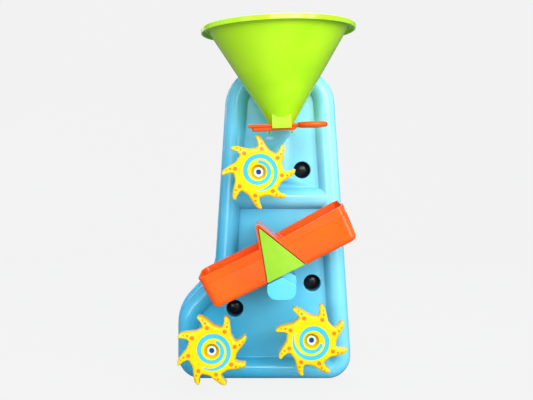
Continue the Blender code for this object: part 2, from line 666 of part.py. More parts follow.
def make_funnel():
    """Funnel with a turned-down lip, guides for the gate, and two arms hooked into the panel."""
    bottom = GATE_TOP + GAP
    under = FUNNEL_TOP - FUNNEL_WALL
    lip_bottom = FUNNEL_TOP - FUNNEL_LIP
    rim = cone_radius(under) + FUNNEL_FLANGE
    lip_inner = rim - FUNNEL_LIP_WALL
    body = turned([(0, bottom), (FUNNEL_NECK_RADIUS, bottom), (FUNNEL_NECK_RADIUS, FUNNEL_NECK),
                   (cone_radius(under), under), (lip_inner, under), (lip_inner, lip_bottom),
                   (rim, lip_bottom), (rim, FUNNEL_TOP - FUNNEL_LIP_ROUNDING),
                   (rim - FUNNEL_LIP_ROUNDING, FUNNEL_TOP), (0, FUNNEL_TOP)],
                  UPWARD, FUNNEL_STEPS, "funnel")
    across = FUNNEL_WALL / cos(radians(FUNNEL_HALF_ANGLE))
    above = FUNNEL_TOP + FUNNEL_WALL
    widening = OUTLET_RADIUS + across - FUNNEL_NECK_RADIUS
    narrow = FUNNEL_NECK + widening / tan(radians(FUNNEL_HALF_ANGLE))
    cavity = turned([(0, bottom - GAP), (OUTLET_RADIUS, bottom - GAP),
                     (OUTLET_RADIUS, max(narrow, bottom)), (cone_radius(above) - across, above),
                     (0, above)], UPWARD, FUNNEL_STEPS, "funnel_cavity")

    plate_bottom = GATE_TOP - GATE_PLATE
    ledge_top = plate_bottom - GAP
    ledge_bottom = ledge_top - GUIDE_LEDGE
    near = GATE_HALF_DEPTH + GAP
    far = near + GUIDE_WALL
    guide_top = FUNNEL_NECK + GUIDE_RISE
    section = [(near - GATE_LEDGE, ledge_bottom), (far, ledge_bottom), (far, guide_top),
               (near, guide_top), (near, ledge_top), (near - GATE_LEDGE, ledge_top)]
    guides = []
    for way in (-1, 1):
        ends = (-GUIDE_HALF_WIDTH, GUIDE_HALF_WIDTH)
        guides.append(loft([[Vector((x, way * y, z)) for y, z in section] for x in ends], "guide"))

    floor_back = PANEL_FLOOR - PANEL_WALL
    hook_front = floor_back - GAP
    hook_back = hook_front - HOOK_THICKNESS
    arm_back = FUNNEL_FRONT - far - GATE_STOP_REACH
    hook_end = SLOT_BOTTOM - HOOK_DROP
    hook_seat = SLOT_BOTTOM + GAP
    arm = [(FUNNEL_FRONT, FUNNEL_NECK), (FUNNEL_FRONT, HOOK_ARM_TOP),
           (PANEL_FLOOR + GAP, HOOK_ARM_TOP), (PANEL_FLOOR + GAP, HOOK_TOP), (hook_back, HOOK_TOP),
           (hook_back, hook_end), (hook_front, hook_end), (hook_front, hook_seat),
           (floor_back, hook_seat), (PANEL_FLOOR, HOOK_ARM_BOTTOM), (arm_back, HOOK_ARM_BOTTOM),
           (arm_back, FUNNEL_NECK)]
    arms = []
    for side in (-1, 1):
        low = side * HOOK_ARM_X - HOOK_ARM_THICKNESS / 2
        ends = (low, low + HOOK_ARM_THICKNESS)
        arms.append(loft([[Vector((x, FUNNEL_FRONT - front, z)) for front, z in arm] for x in ends],
                         "hook_arm"))
    body = combine(body, guides + arms, "UNION")
    body = combine(body, [cavity], "DIFFERENCE")
    seat = pivot("funnel_seat", (0, -FUNNEL_FRONT, FUNNEL_NECK), -FUNNEL_LEAN_ANGLE)
    piece("funnel", body, "funnel green", (0, 0, -FUNNEL_NECK), parent=seat)
    return seat


def make_gate(seat):
    """Plate on a keel that slides through the guides, with a stop, a water hole and a finger ring."""
    plate_bottom = GATE_TOP - GATE_PLATE
    keel_half = GATE_HALF_DEPTH - GATE_LEDGE - GAP
    keel_bottom = plate_bottom - GATE_KEEL
    ring_middle = GATE_TOP - RING_HEIGHT / 2 + GATE_PLATE / 2
    ring_x = FUNNEL_NECK_RADIUS + RING_CLEAR + RING_RADIUS
    neck_end = ring_x - (RING_RADIUS + RING_BORE) / 2
    plate = block((-GATE_LEFT, -GATE_HALF_DEPTH, plate_bottom),
                  (neck_end - GATE_STOP, GATE_HALF_DEPTH, GATE_TOP), "gate_slide")
    stop_half = GATE_HALF_DEPTH + GATE_STOP_REACH
    stop = block((-GATE_LEFT + GAP, -stop_half, plate_bottom + GAP),
                 (-GATE_LEFT + GATE_STOP, stop_half, GATE_TOP - GAP), "gate_stop")
    keel = upright(plan(GATE_STOP - GATE_LEFT + GAP, neck_end, keel_half, keel_half / 2, GATE_STOP),
                   keel_bottom, plate_bottom + GATE_PLATE / 2, "gate_keel")
    half = RING_HEIGHT / 2
    section = []
    for inner, way in ((RING_RADIUS, 1), (RING_BORE, -1)):
        for step in range(EDGE_STEPS + 1):
            angle = pi / 2 * step / EDGE_STEPS
            lift = sin(angle) if way > 0 else cos(angle)
            spread = cos(angle) if way > 0 else sin(angle)
            section.append((inner - way * RING_ROUNDING * (1 - spread),
                            half - RING_ROUNDING * (1 - lift)))
    section += [(radius, -lift) for radius, lift in reversed(section)]
    ring = moved(turned(section, UPWARD, ROUND_STEPS, "finger_ring"), (ring_x, 0, ring_middle))
    hole = upright(circle(GATE_HOLE_RADIUS, (-GATE_TRAVEL, 0.0)),
                   keel_bottom - GAP, GATE_TOP + GAP, "gate_hole")
    body = combine(plate, [stop, keel, ring], "UNION")
    body = combine(body, [hole], "DIFFERENCE")
    piece("gate_slide", body, "gate orange", (0, 0, -FUNNEL_NECK), parent=seat)


def clear_scene():
    for existing in list(bpy.data.objects):
        bpy.data.objects.remove(existing)


clear_scene()
make_panel()
make_cups()
make_wheels()
make_scoops()
make_gate(make_funnel())
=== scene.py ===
import bmesh
import bpy
import numpy as np
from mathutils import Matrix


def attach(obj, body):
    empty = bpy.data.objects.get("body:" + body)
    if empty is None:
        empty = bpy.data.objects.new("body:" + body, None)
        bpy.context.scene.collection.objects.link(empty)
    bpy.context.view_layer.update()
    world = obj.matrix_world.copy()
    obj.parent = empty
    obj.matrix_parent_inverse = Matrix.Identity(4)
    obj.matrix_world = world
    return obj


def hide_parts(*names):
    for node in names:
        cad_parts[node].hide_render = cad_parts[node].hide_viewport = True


# Water wheel toy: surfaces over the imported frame.
# Metres, X to the right, Z up. "front" is the distance in front of the wall, so y = -front.

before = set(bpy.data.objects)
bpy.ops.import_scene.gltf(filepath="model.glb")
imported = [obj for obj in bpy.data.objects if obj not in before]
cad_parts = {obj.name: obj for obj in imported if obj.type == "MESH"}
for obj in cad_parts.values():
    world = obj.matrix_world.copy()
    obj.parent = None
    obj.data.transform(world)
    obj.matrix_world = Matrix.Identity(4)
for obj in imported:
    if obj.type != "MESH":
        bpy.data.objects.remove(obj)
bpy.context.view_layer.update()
print("frame loaded")


def arc(across, along, radius, start, end, steps):
    # part of a circle in a profile, angles in degrees
    angle = np.radians(np.linspace(start, end, steps + 1))
    return np.stack([across + radius * np.cos(angle), along + radius * np.sin(angle)], 1)


def path(*parts):
    return np.concatenate([np.atleast_2d(np.array(part, float)) for part in parts])


def outline(sides, steps):
    # sides are (degrees faced, point on the side, radius of the corner after it), counter-clockwise;
    # every corner is an arc tangent to its two sides. Gives the points and the way each one moves out
    faces = np.radians([side[0] for side in sides])
    through = np.array([side[1] for side in sides], float)
    radius = np.array([side[2] for side in sides], float)
    onward = np.roll(faces, -1)
    turn = (onward - faces + np.pi) % (2 * np.pi) - np.pi
    signed = np.copysign(radius, turn)
    one = np.stack([np.cos(faces), np.sin(faces)], 1)
    two = np.roll(one, -1, 0)
    reachOne = (one * through).sum(1) - signed
    reachTwo = (two * np.roll(through, -1, 0)).sum(1) - signed
    cross = one[:, 0] * two[:, 1] - one[:, 1] * two[:, 0]
    centre = np.stack([reachOne * two[:, 1] - reachTwo * one[:, 1],
                       reachTwo * one[:, 0] - reachOne * two[:, 0]], 1) / cross[:, None]
    angle = faces[:, None] + turn[:, None] * np.linspace(0, 1, steps + 1)
    outward = np.stack([np.cos(angle), np.sin(angle)], 2)
    points = centre[:, None] + signed[:, None, None] * outward
    return points.reshape(-1, 2), outward.reshape(-1, 2)


def setLevels(flat, profile, upright):
    # flat rings moved to the profile's levels, up along Z or else out to the front
    level = np.broadcast_to(profile[:, None, 1], flat.shape[:2])
    if upright:
        return np.stack([flat[..., 0], flat[..., 1], level], 2)
    return np.stack([flat[..., 0], -level, flat[..., 1]], 2)


def sweep(edge, profile, upright=False):
    # profile of (inset, level) carried round an outline: point = outline - inset * outward way
    points, outward = edge
    return setLevels(points[None] - profile[:, None, :1] * outward[None], profile, upright)


def lathe(profile, centre, steps, upright=False):
    # profile of (radius, level) turned about an axis through centre
    angle = np.linspace(0, 2 * np.pi, steps, endpoint=False)
    ring = np.stack([np.cos(angle), np.sin(angle)], 1)
    return setLevels(np.array(centre) + profile[:, None, :1] * ring[None], profile, upright)


def rod(radius, low, high):
    # profile of a plain round bar
    return path((0, low), (radius, low), (radius, high), (0, high))


def roundedFoot(low, edge, steps):
    # (level, inset) up a rounded lower edge: a quarter circle from the underside to the side
    bend = np.radians(np.linspace(0, 90, steps + 1))
    return np.stack([low + edge * (1 - np.cos(bend)), edge * (1 - np.sin(bend))], 1)


def rectangle(left, right, near, far, corners):
    # four sides for an outline, with the corner after each side
    sides = ((0, (right, 0)), (90, (0, far)), (180, (left, 0)), (270, (0, near)))
    return [(faced, spot, corner) for (faced, spot), corner in zip(sides, corners)]


def slab(low, high, corner, edge, steps=5):
    # rounded block: rectangle in X and Y with an edge rounding below and above
    sides = rectangle(low[0], high[0], low[1], high[1], [corner] * 4)
    profile = path(arc(edge, low[2] + edge, edge, 270, 180, steps),
                   arc(edge, high[2] - edge, edge, 180, 90, steps))
    return sweep(outline(sides, steps), profile, upright=True)


def solid(name, grid, loop=False):
    # rings of points joined by quads; the end rings are closed flat, or joined to each other
    rows, cols = grid.shape[:2]
    row, col = np.meshgrid(np.arange(rows if loop else rows - 1), np.arange(cols), indexing="ij")
    nextRow, nextCol = (row + 1) % rows, (col + 1) % cols
    quads = np.stack([row * cols + col, row * cols + nextCol,
                      nextRow * cols + nextCol, nextRow * cols + col], 2).reshape(-1, 4)
    faces = quads.tolist()
    if not loop:
        ends = np.arange(cols)
        faces += [ends[::-1].tolist(), (ends + (rows - 1) * cols).tolist()]
    mesh = bpy.data.meshes.new(name)
    mesh.from_pydata(grid.reshape(-1, 3).tolist(), [], faces)
    work = bmesh.new()
    work.from_mesh(mesh)
    bmesh.ops.remove_doubles(work, verts=work.verts, dist=1e-7)
    bmesh.ops.recalc_face_normals(work, faces=work.faces)
    work.to_mesh(mesh)
    work.free()
    return mesh


def combine(mesh, tools, operation):
    # exact Boolean of a mesh with each tool in turn
    helpers = [bpy.data.objects.new(each.name, each) for each in [mesh] + tools]
    for helper in helpers:
        bpy.context.scene.collection.objects.link(helper)
    for helper in helpers[1:]:
        step = helpers[0].modifiers.new(operation, "BOOLEAN")
        step.operation = operation
        step.solver = "EXACT"
        step.object = helper
    graph = bpy.context.evaluated_depsgraph_get()
    result = bpy.data.meshes.new_from_object(helpers[0].evaluated_get(graph))
    result.name = mesh.name
    for helper in helpers:
        bpy.data.objects.remove(helper)
    return result


def getPoints(mesh):
    points = np.zeros(len(mesh.vertices) * 3)
    mesh.vertices.foreach_get("co", points)
    return points.reshape(-1, 3)


def setPoints(mesh, points):
    mesh.vertices.foreach_set("co", points.ravel())
    mesh.update()


def tip(mesh, degrees, z=0.0):
    # turns a mesh about a line along Y at height z, right end up
    points = getPoints(mesh)
    turn = np.radians(degrees)
    rise = points[:, 2] - z
    x = points[:, 0] * np.cos(turn) - rise * np.sin(turn)
    up = z + points[:, 0] * np.sin(turn) + rise * np.cos(turn)
    setPoints(mesh, np.stack([x, points[:, 1], up], 1))
    return mesh


def place(name, mesh, material, body, replaced=(), sharp=34, even=False):
    # named piece that rides on a body; even keeps wide flat faces flat in the shading
    piece = bpy.data.objects.new(name, mesh)
    bpy.context.scene.collection.objects.link(piece)
    mesh.materials.clear()
    for each in material if isinstance(material, list) else [material]:
        mesh.materials.append(each)
    mesh.shade_smooth()
    mesh.set_sharp_from_angle(angle=np.radians(sharp))
    if even:
        normals = piece.modifiers.new("evenNormals", "WEIGHTED_NORMAL")
        normals.keep_sharp = True
    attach(piece, body)
    if replaced:
        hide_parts(*replaced)
    return piece


def colour(red, green, blue):
    # screen colour in 0..255 to linear light
    screen = np.array([red, green, blue]) / 255
    linear = np.where(screen <= 0.04045, screen / 12.92, ((screen + 0.055) / 1.055) ** 2.4)
    return (*linear.tolist(), 1.0)


def newGroup(name, inputs, outputs):
    group = bpy.data.node_groups.new(name, "ShaderNodeTree")
    for label, kind, value in inputs:
        socket = group.interface.new_socket(label, in_out="INPUT", socket_type="NodeSocket" + kind)
        if value is not None:
            socket.default_value = value
    for label, kind in outputs:
        group.interface.new_socket(label, in_out="OUTPUT", socket_type="NodeSocket" + kind)
    return group, group.nodes.new("NodeGroupInput"), group.nodes.new("NodeGroupOutput")


def node(tree, kind, values=None, **settings):
    made = tree.nodes.new("ShaderNode" + kind)
    for key, value in settings.items():
        setattr(made, key, value)
    for key, value in (values or {}).items():
        made.inputs[key].default_value = value
    return made


def makeFlowGroup():
    # colour that drifts a little over a moulding: the plastic's flow, fine mottling and an even shift; a
    # material can drive the shift with painted light, paler where the light falls
    group, start, end = newGroup(
        "mouldFlow",
        [("Coordinates", "Vector", None), ("Body", "Color", (1, 1, 1, 1)), ("Pale", "Color", (1, 1, 1, 1)),
         ("Deep", "Color", (0, 0, 0, 1)), ("Drift", "Float", 0.3), ("Shift", "Float", 0.0)],
        [("Colour", "Color")])
    wide = node(group, "TexNoise", {"Scale": 17.0, "Detail": 3.0, "Roughness": 0.5, "Distortion": 0.6})
    fine = node(group, "TexNoise", {"Scale": 420.0, "Detail": 2.0, "Roughness": 0.6})
    spread = node(group, "MapRange", {"From Min": 0.36, "From Max": 0.66, "To Min": -0.58, "To Max": 0.42})
    fineShare = 0.16
    mottled = node(group, "Math", {1: fineShare}, operation="MULTIPLY_ADD")
    swing = node(group, "Math", operation="MULTIPLY_ADD")
    lower = node(group, "MapRange", {"From Min": -0.5, "From Max": 0.0})
    upper = node(group, "MapRange", {"From Min": 0.0, "From Max": 0.5})
    deeper = node(group, "Mix", data_type="RGBA")
    paler = node(group, "Mix", data_type="RGBA")
    link = group.links.new
    link(start.outputs["Coordinates"], wide.inputs["Vector"])
    link(start.outputs["Coordinates"], fine.inputs["Vector"])
    link(wide.outputs["Fac"], spread.inputs["Value"])
    link(fine.outputs["Fac"], mottled.inputs[0])
    link(spread.outputs["Result"], mottled.inputs[2])
    link(mottled.outputs["Value"], swing.inputs[0])
    link(start.outputs["Drift"], swing.inputs[1])
    link(start.outputs["Shift"], swing.inputs[2])
    link(swing.outputs["Value"], lower.inputs["Value"])
    link(swing.outputs["Value"], upper.inputs["Value"])
    link(lower.outputs["Result"], deeper.inputs["Factor"])
    link(start.outputs["Deep"], deeper.inputs["A"])
    link(start.outputs["Body"], deeper.inputs["B"])
    link(upper.outputs["Result"], paler.inputs["Factor"])
    link(deeper.outputs["Result"], paler.inputs["A"])
    link(start.outputs["Pale"], paler.inputs["B"])
    link(paler.outputs["Result"], end.inputs["Colour"])
    return group


def makeSkinGroup():
    # gloss that changes over the surface, hairline scuffs and a faint orange-peel bump
    group, start, end = newGroup(
        "mouldSkin",
        [("Coordinates", "Vector", None), ("Gloss", "Float", 0.16), ("Scuffs", "Float", 0.12),
         ("Peel", "Float", 0.08)],
        [("Roughness", "Float"), ("Normal", "Vector")])
    patch = node(group, "TexNoise", {"Scale": 48.0, "Detail": 4.0, "Roughness": 0.55})
    stretch = node(group, "Mapping", {"Scale": (950.0, 300.0, 55.0), "Rotation": (0.2, 0.5, 0.3)})
    hair = node(group, "TexNoise", {"Scale": 1.0, "Detail": 2.0, "Roughness": 0.5})
    thin = node(group, "MapRange", {"From Min": 0.64, "From Max": 0.74})
    patchSpread = node(group, "MapRange",
                       {"From Min": 0.35, "From Max": 0.7, "To Min": -0.03, "To Max": 0.06})
    scuffed = node(group, "Math", operation="MULTIPLY")
    base = node(group, "Math", operation="ADD")
    total = node(group, "Math", operation="ADD", use_clamp=True)
    peel = node(group, "TexNoise", {"Scale": 620.0, "Detail": 2.0, "Roughness": 0.45})
    bump = node(group, "Bump", {"Distance": 0.0004})
    link = group.links.new
    for each in (patch, peel, stretch):
        link(start.outputs["Coordinates"], each.inputs["Vector"])
    link(stretch.outputs["Vector"], hair.inputs["Vector"])
    link(hair.outputs["Fac"], thin.inputs["Value"])
    link(thin.outputs["Result"], scuffed.inputs[0])
    link(start.outputs["Scuffs"], scuffed.inputs[1])
    link(patch.outputs["Fac"], patchSpread.inputs["Value"])
    link(start.outputs["Gloss"], base.inputs[0])
    link(patchSpread.outputs["Result"], base.inputs[1])
    link(base.outputs["Value"], total.inputs[0])
    link(scuffed.outputs["Value"], total.inputs[1])
    link(total.outputs["Value"], end.inputs["Roughness"])
    link(peel.outputs["Fac"], bump.inputs["Height"])
    link(start.outputs["Peel"], bump.inputs["Strength"])
    link(bump.outputs["Normal"], end.inputs["Normal"])
    return group


flowGroup = makeFlowGroup()
skinGroup = makeSkinGroup()


def plastic(name, body, pale, deep, drift=0.35, gloss=0.16, scuffs=0.10, peel=0.08, coat=0.15, shine=0.4,
            paintedLight=None):
    # glossy moulded plastic; body, pale and deep are screen colours
    # the last argument paints light and shade: a direction and the two distances along it where deep turns
    # to pale, paler on the side the light falls on
    made = bpy.data.materials.new(name)
    made.use_nodes = True
    tree = made.node_tree
    shader = tree.nodes["Principled BSDF"]
    where = node(tree, "TexCoord")
    flow = node(tree, "Group", node_tree=flowGroup)
    skin = node(tree, "Group", node_tree=skinGroup)
    for key, value in (("Body", colour(*body)), ("Pale", colour(*pale)), ("Deep", colour(*deep)),
                       ("Drift", drift)):
        flow.inputs[key].default_value = value
    for key, value in (("Gloss", gloss), ("Scuffs", scuffs), ("Peel", peel)):
        skin.inputs[key].default_value = value
    for group in (flow, skin):
        tree.links.new(where.outputs["Object"], group.inputs["Coordinates"])
    # painted light: the colour goes from deep to pale along the given direction
    if paintedLight:
        along = node(tree, "VectorMath", {1: paintedLight[0]}, operation="DOT_PRODUCT")
        turn = node(tree, "MapRange",
                    {"From Min": paintedLight[1], "From Max": paintedLight[2], "To Min": -0.5, "To Max": 0.5})
        tree.links.new(where.outputs["Object"], along.inputs[0])
        tree.links.new(along.outputs["Value"], turn.inputs["Value"])
        tree.links.new(turn.outputs["Result"], flow.inputs["Shift"])
    tree.links.new(flow.outputs["Colour"], shader.inputs["Base Color"])
    tree.links.new(skin.outputs["Roughness"], shader.inputs["Roughness"])
    tree.links.new(skin.outputs["Normal"], shader.inputs["Normal"])
    shader.inputs["Specular IOR Level"].default_value = shine
    shader.inputs["Coat Weight"].default_value = coat
    shader.inputs["Coat Roughness"].default_value = 0.06
    return made


# painted light: the panel's blue turns paler towards the right and the top and deeper towards the left and
# bottom, as if lit from the upper right
panelBlue = plastic("panelBlue", (100, 204, 241), (146, 228, 251), (66, 184, 229), drift=0.2,
                    paintedLight=((1.0, 0.0, 0.35), -0.09, 0.10))
funnelGreen = plastic("funnelGreen", (172, 234, 18), (194, 246, 42), (148, 218, 6))
gateOrange = plastic("gateOrange", (228, 92, 6), (240, 116, 20), (212, 68, 2), coat=0.05, shine=0.25)
wheelYellow = plastic("wheelYellow", (248, 206, 8), (253, 220, 26), (240, 190, 2), coat=0.05, shine=0.25)
scoopOrange = plastic("scoopOrange", (248, 88, 2), (254, 104, 8), (238, 72, 0))
capGreen = plastic("capGreen", (142, 196, 38), (164, 212, 56), (122, 182, 26))
pinPale = plastic("pinPale", (206, 230, 228), (220, 240, 238), (188, 216, 218), peel=0.05)
# deep blue painted into the pins' holes: painted shade
pinHoleShade = plastic("pinHoleShade", (8, 92, 170), (16, 112, 190), (4, 72, 148), peel=0.05)
cupBlack = plastic("cupBlack", (16, 16, 20), (24, 24, 29), (10, 10, 13), gloss=0.24, coat=0.05,
                   scuffs=0.2, shine=0.3)
printBlue = plastic("printBlue", (62, 190, 214), (88, 204, 224), (44, 174, 204), peel=0.03)
printOrange = plastic("printOrange", (238, 124, 30), (246, 144, 48), (228, 104, 16), peel=0.03)
print("finishes made")


panel = dict(top=0.2275, bottom=0.1485, half=0.0783, taper=3.63, topRadius=0.050, bottomRadius=0.030,
             bulge=0.124, slope=47.0, drop=0.0356, shoulder=0.098, bulgeRadius=0.055, bulgeFillet=0.035,
             back=0.008, floor=0.038, wall=0.0024, flange=0.003, flangeThick=0.003, rim=0.027,
             rimHeight=0.013, ridgeZ=0.0675, ridge=0.0245, ridgeHeight=0.0124, ridgeTuck=0.0005,
             edge=0.0006, fillet=0.0016, boss=0.008, bossFront=0.0872, bossBore=0.0043, bossBoreEnd=0.0529,
             postHalf=0.01606, postBottom=0.0392, postShoulder=0.014, postRoof=28.0, postFront=0.1151,
             postTopRadius=0.0045, postBottomRadius=0.0105, postBoss=0.0103, postBore=0.0073,
             sleeveBack=0.0711, axleBore=0.0043, axleBoreEnd=0.0448, slotX=0.0134, slotHalf=0.0018,
             slotBottom=0.1437, slotTop=0.172, slotLean=2.0, slotTurn=0.1535, slotEdge=0.0004,
             stopFront=0.1222, stopTilt=26.0, stopDrop=0.0127, stopGap=0.0003, stopRadius=0.003,
             cornerSteps=26, rimSteps=30, postSteps=10, roundSteps=64, bossSteps=56, axleBoreSteps=48,
             pinBoreSteps=40)
wheelCentres = {"top": (-0.0253, 0.0992), "right": (0.0333, -0.0869), "left": (-0.0771, -0.0984)}
cupCentres = {"top": (0.0256, 0.1008), "right": (0.0375, -0.0332), "left": (-0.0540, -0.0634)}
well = dict(radius=0.010, back=0.0113, neck=0.0053, lip=0.0012, clear=0.02)


def ellipseArc(foot, width, height, base, end, steps):
    # half-round over a strip: inset = foot + width/2 (1 - cos a), level = base + height sin a
    angle = np.linspace(0, end, steps + 1)
    return np.stack([foot + width / 2 * (1 - np.cos(angle)), base + height * np.sin(angle)], 1)


def ridgeBar(panel, width, height, foot, fillet):
    # half-round section with flared feet, carried straight across the panel
    side = panel["half"] - panel["ridgeZ"] * np.tan(np.radians(panel["taper"]))
    end = side - (panel["flange"] + panel["rim"]) / 2 - panel["ridgeTuck"]
    lift = np.arcsin(fillet / height) if fillet else 0.0
    angle = np.linspace(lift, np.pi - lift, panel["rimSteps"] + 1)
    bow = np.stack([-width / 2 * np.cos(angle), panel["floor"] + height * np.sin(angle)], 1)
    if fillet:
        flare = arc(bow[-1, 0] + fillet, bow[-1, 1], fillet, 180, 265, 5)
        bow = path(flare[::-1] * (-1, 1), bow, flare)
    section = path((bow[0, 0], foot), bow, (bow[-1, 0], foot))
    x = np.broadcast_to(np.array([-end, end])[:, None], (2, len(section)))
    section = np.broadcast_to(section[None], (2, len(section), 2))
    return np.stack([x, -section[..., 1], panel["ridgeZ"] + section[..., 0]], 2)


def column(radius, floor, front, edge, fillet, sink):
    # upright bar out of the floor: flared foot, straight side, rounded end
    return path((radius + fillet, floor - sink), arc(radius + fillet, floor + fillet, fillet, 265, 180, 6),
                arc(radius - edge, front - edge, edge, 0, 90, 4), (0, front))


def panelSkin(panel):
    # rimmed shell with the cross ridge, hollow from behind
    sides = [(panel["taper"], (panel["half"], 0), panel["topRadius"]),
             (90, (0, panel["top"]), panel["topRadius"]),
             (180 - panel["taper"], (-panel["half"], 0), panel["bulgeFillet"]),
             (90 + panel["slope"], (-panel["shoulder"], -panel["drop"]), panel["bulgeRadius"]),
             (180, (-panel["bulge"], 0), panel["bottomRadius"]),
             (270, (0, -panel["bottom"]), panel["bottomRadius"])]
    edge = outline(sides, panel["cornerSteps"])
    bevel, fillet, floor, wall = panel["edge"], panel["fillet"], panel["floor"], panel["wall"]
    step = panel["back"] + panel["flangeThick"]
    rimSpan = panel["rim"] - panel["flange"]
    bow = ellipseArc(panel["flange"], rimSpan, panel["rimHeight"], floor,
                     np.pi - np.arcsin(fillet / panel["rimHeight"]), panel["rimSteps"])
    outer = path(arc(bevel, panel["back"] + bevel, bevel, 270, 180, 4),
                 arc(bevel, step - bevel, bevel, 180, 90, 4),
                 arc(panel["flange"] - fillet / 2, step + fillet / 2, fillet / 2, 270, 360, 4), bow,
                 arc(bow[-1, 0] + fillet, floor + fillet, fillet, 180, 270, 6))
    inside = panel["flange"] + wall
    vault = ellipseArc(inside, panel["rim"] - wall - inside, panel["rimHeight"] - wall, floor, np.pi,
                       panel["rimSteps"])
    inner = path((inside, panel["back"] - wall), vault, (panel["rim"] - wall, floor - wall))
    ridge = solid("ridge", ridgeBar(panel, panel["ridge"], panel["ridgeHeight"], floor - wall / 2, fillet))
    ridgeHollow = solid("ridgeHollow", ridgeBar(panel, panel["ridge"] - 2 * wall,
                                                panel["ridgeHeight"] - wall, floor - 2 * wall, 0))
    shell = combine(solid("panel", sweep(edge, outer)), [ridge], "UNION")
    hollow = combine(solid("hollow", sweep(edge, inner)), [ridgeHollow], "UNION")
    return combine(shell, [hollow], "DIFFERENCE")


def postParts(panel):
    # post of the scoops with the stop below the cap, and the bore for sleeve and axle
    bevel, fillet, floor, wall = panel["edge"], panel["fillet"], panel["floor"], panel["wall"]
    sink = wall / 2
    roof = 90 - panel["postRoof"]
    half = panel["postHalf"]
    foot = [(180, (-half, 0), panel["postBottomRadius"]),
            (270, (0, -panel["postBottom"]), panel["postBottomRadius"])]
    shoulders = [(0, (half, 0), panel["postTopRadius"]),
                 (roof, (half, -panel["postShoulder"]), panel["postTopRadius"]),
                 (180 - roof, (-half, -panel["postShoulder"]), panel["postTopRadius"])]
    post = outline(shoulders + foot, panel["postSteps"])
    stem = path((-fillet, floor - sink), arc(-fillet, floor + fillet, fillet, 275, 360, 6),
                arc(2 * bevel, panel["postFront"] - 2 * bevel, 2 * bevel, 180, 90, 5))
    tilt = np.radians(90 - panel["stopTilt"])
    right = -panel["stopDrop"] * np.array([np.cos(tilt), np.sin(tilt)])
    eaves = [(0, (half, 0), panel["stopRadius"]), (90 - panel["stopTilt"], right, panel["stopRadius"]),
             (90 + panel["stopTilt"], right * (-1, 1), panel["stopRadius"])]
    tab = outline(eaves + foot, panel["postSteps"])
    gap = panel["stopGap"]
    tabDepth = path((gap, panel["postFront"] - wall),
                    arc(gap + bevel, panel["stopFront"] - bevel, bevel, 180, 90, 4))
    postBoss = column(panel["postBoss"], floor, panel["postFront"], bevel, fillet, sink)
    bars = [solid("post", sweep(post, stem)), solid("stop", sweep(tab, tabDepth)),
            solid("postBoss", lathe(postBoss, (0, 0), panel["roundSteps"]))]
    mouth = panel["postFront"] + bevel
    axleBore = path((0, panel["axleBoreEnd"]), (panel["axleBore"], panel["axleBoreEnd"]),
                    (panel["axleBore"], panel["sleeveBack"]), (panel["postBore"], panel["sleeveBack"]),
                    (panel["postBore"], mouth), (0, mouth))
    return bars, [solid("postBore", lathe(axleBore, (0, 0), panel["axleBoreSteps"]))]


def wellParts(panel, well):
    # tube of each cup's well, and its stepped bore with a rounded lip
    bevel, fillet, floor, wall = panel["edge"], panel["fillet"], panel["floor"], panel["wall"]
    sink = wall / 2
    outside = well["radius"] + wall
    tube = path((0, well["back"]), (outside - bevel, well["back"]),
                arc(outside - bevel, well["back"] + bevel, bevel, 270, 360, 4), (outside, floor - sink),
                (0, floor - sink))
    wellFloor = well["back"] + wall
    lipEnd = well["radius"] + well["lip"]
    bore = path((0, well["back"] - bevel), (well["neck"], well["back"] - bevel),
                (well["neck"], wellFloor), (well["radius"] - fillet, wellFloor),
                arc(well["radius"] - fillet, wellFloor + fillet, fillet, 270, 360, 5),
                arc(lipEnd, floor - well["lip"], well["lip"], 180, 92, 6),
                (lipEnd, floor + well["clear"]), (0, floor + well["clear"]))
    centres = cupCentres.values()
    tubes = [solid("wellTube", lathe(tube, centre, panel["roundSteps"])) for centre in centres]
    return tubes, [solid("wellBore", lathe(bore, centre, panel["roundSteps"])) for centre in centres]


def bossParts(panel):
    # boss of each wheel, and the blind bore for its pin
    bevel, floor, front = panel["edge"], panel["floor"], panel["bossFront"]
    boss = column(panel["boss"], floor, front, bevel, panel["fillet"], panel["wall"] / 2)
    bore = rod(panel["bossBore"], panel["bossBoreEnd"], front + bevel)
    centres = wheelCentres.values()
    bosses = [solid("boss", lathe(boss, centre, panel["bossSteps"])) for centre in centres]
    return bosses, [solid("bossBore", lathe(bore, centre, panel["pinBoreSteps"])) for centre in centres]


def slotCuts(panel):
    # two upright slots for the funnel's hooks, leaning with the funnel
    floor, wall = panel["floor"], panel["wall"]
    slots = []
    for side in (-1, 1):
        x = side * panel["slotX"]
        slot = slab((x - panel["slotHalf"], -floor - wall, panel["slotBottom"]),
                    (x + panel["slotHalf"], -floor + 2 * wall, panel["slotTop"]),
                    panel["slotEdge"], panel["slotEdge"])
        slots.append(tip(solid("slot", slot), panel["slotLean"], panel["slotTurn"]))
    return slots


def makePanel(panel, well):
    added, removed = [], []
    for bars, bores in (postParts(panel), wellParts(panel, well), bossParts(panel)):
        added += bars
        removed += bores
    shell = combine(panelSkin(panel), added, "UNION")
    shell = combine(shell, removed + slotCuts(panel), "DIFFERENCE")
    place("panelShell", shell, panelBlue, "panel", ["panel"], even=True)


makePanel(panel, well)
print("panel made")


cup = dict(radius=0.021, lip=0.003, hollow=0.0055, edge=0.001, seat=0.0110, shoulder=0.0078, neck=0.005,
           neckEnd=0.0140, head=0.0092, headEnd=0.0300, dome=0.0049, flare=0.8, bellSteps=14,
           domeSteps=13, steps=72)


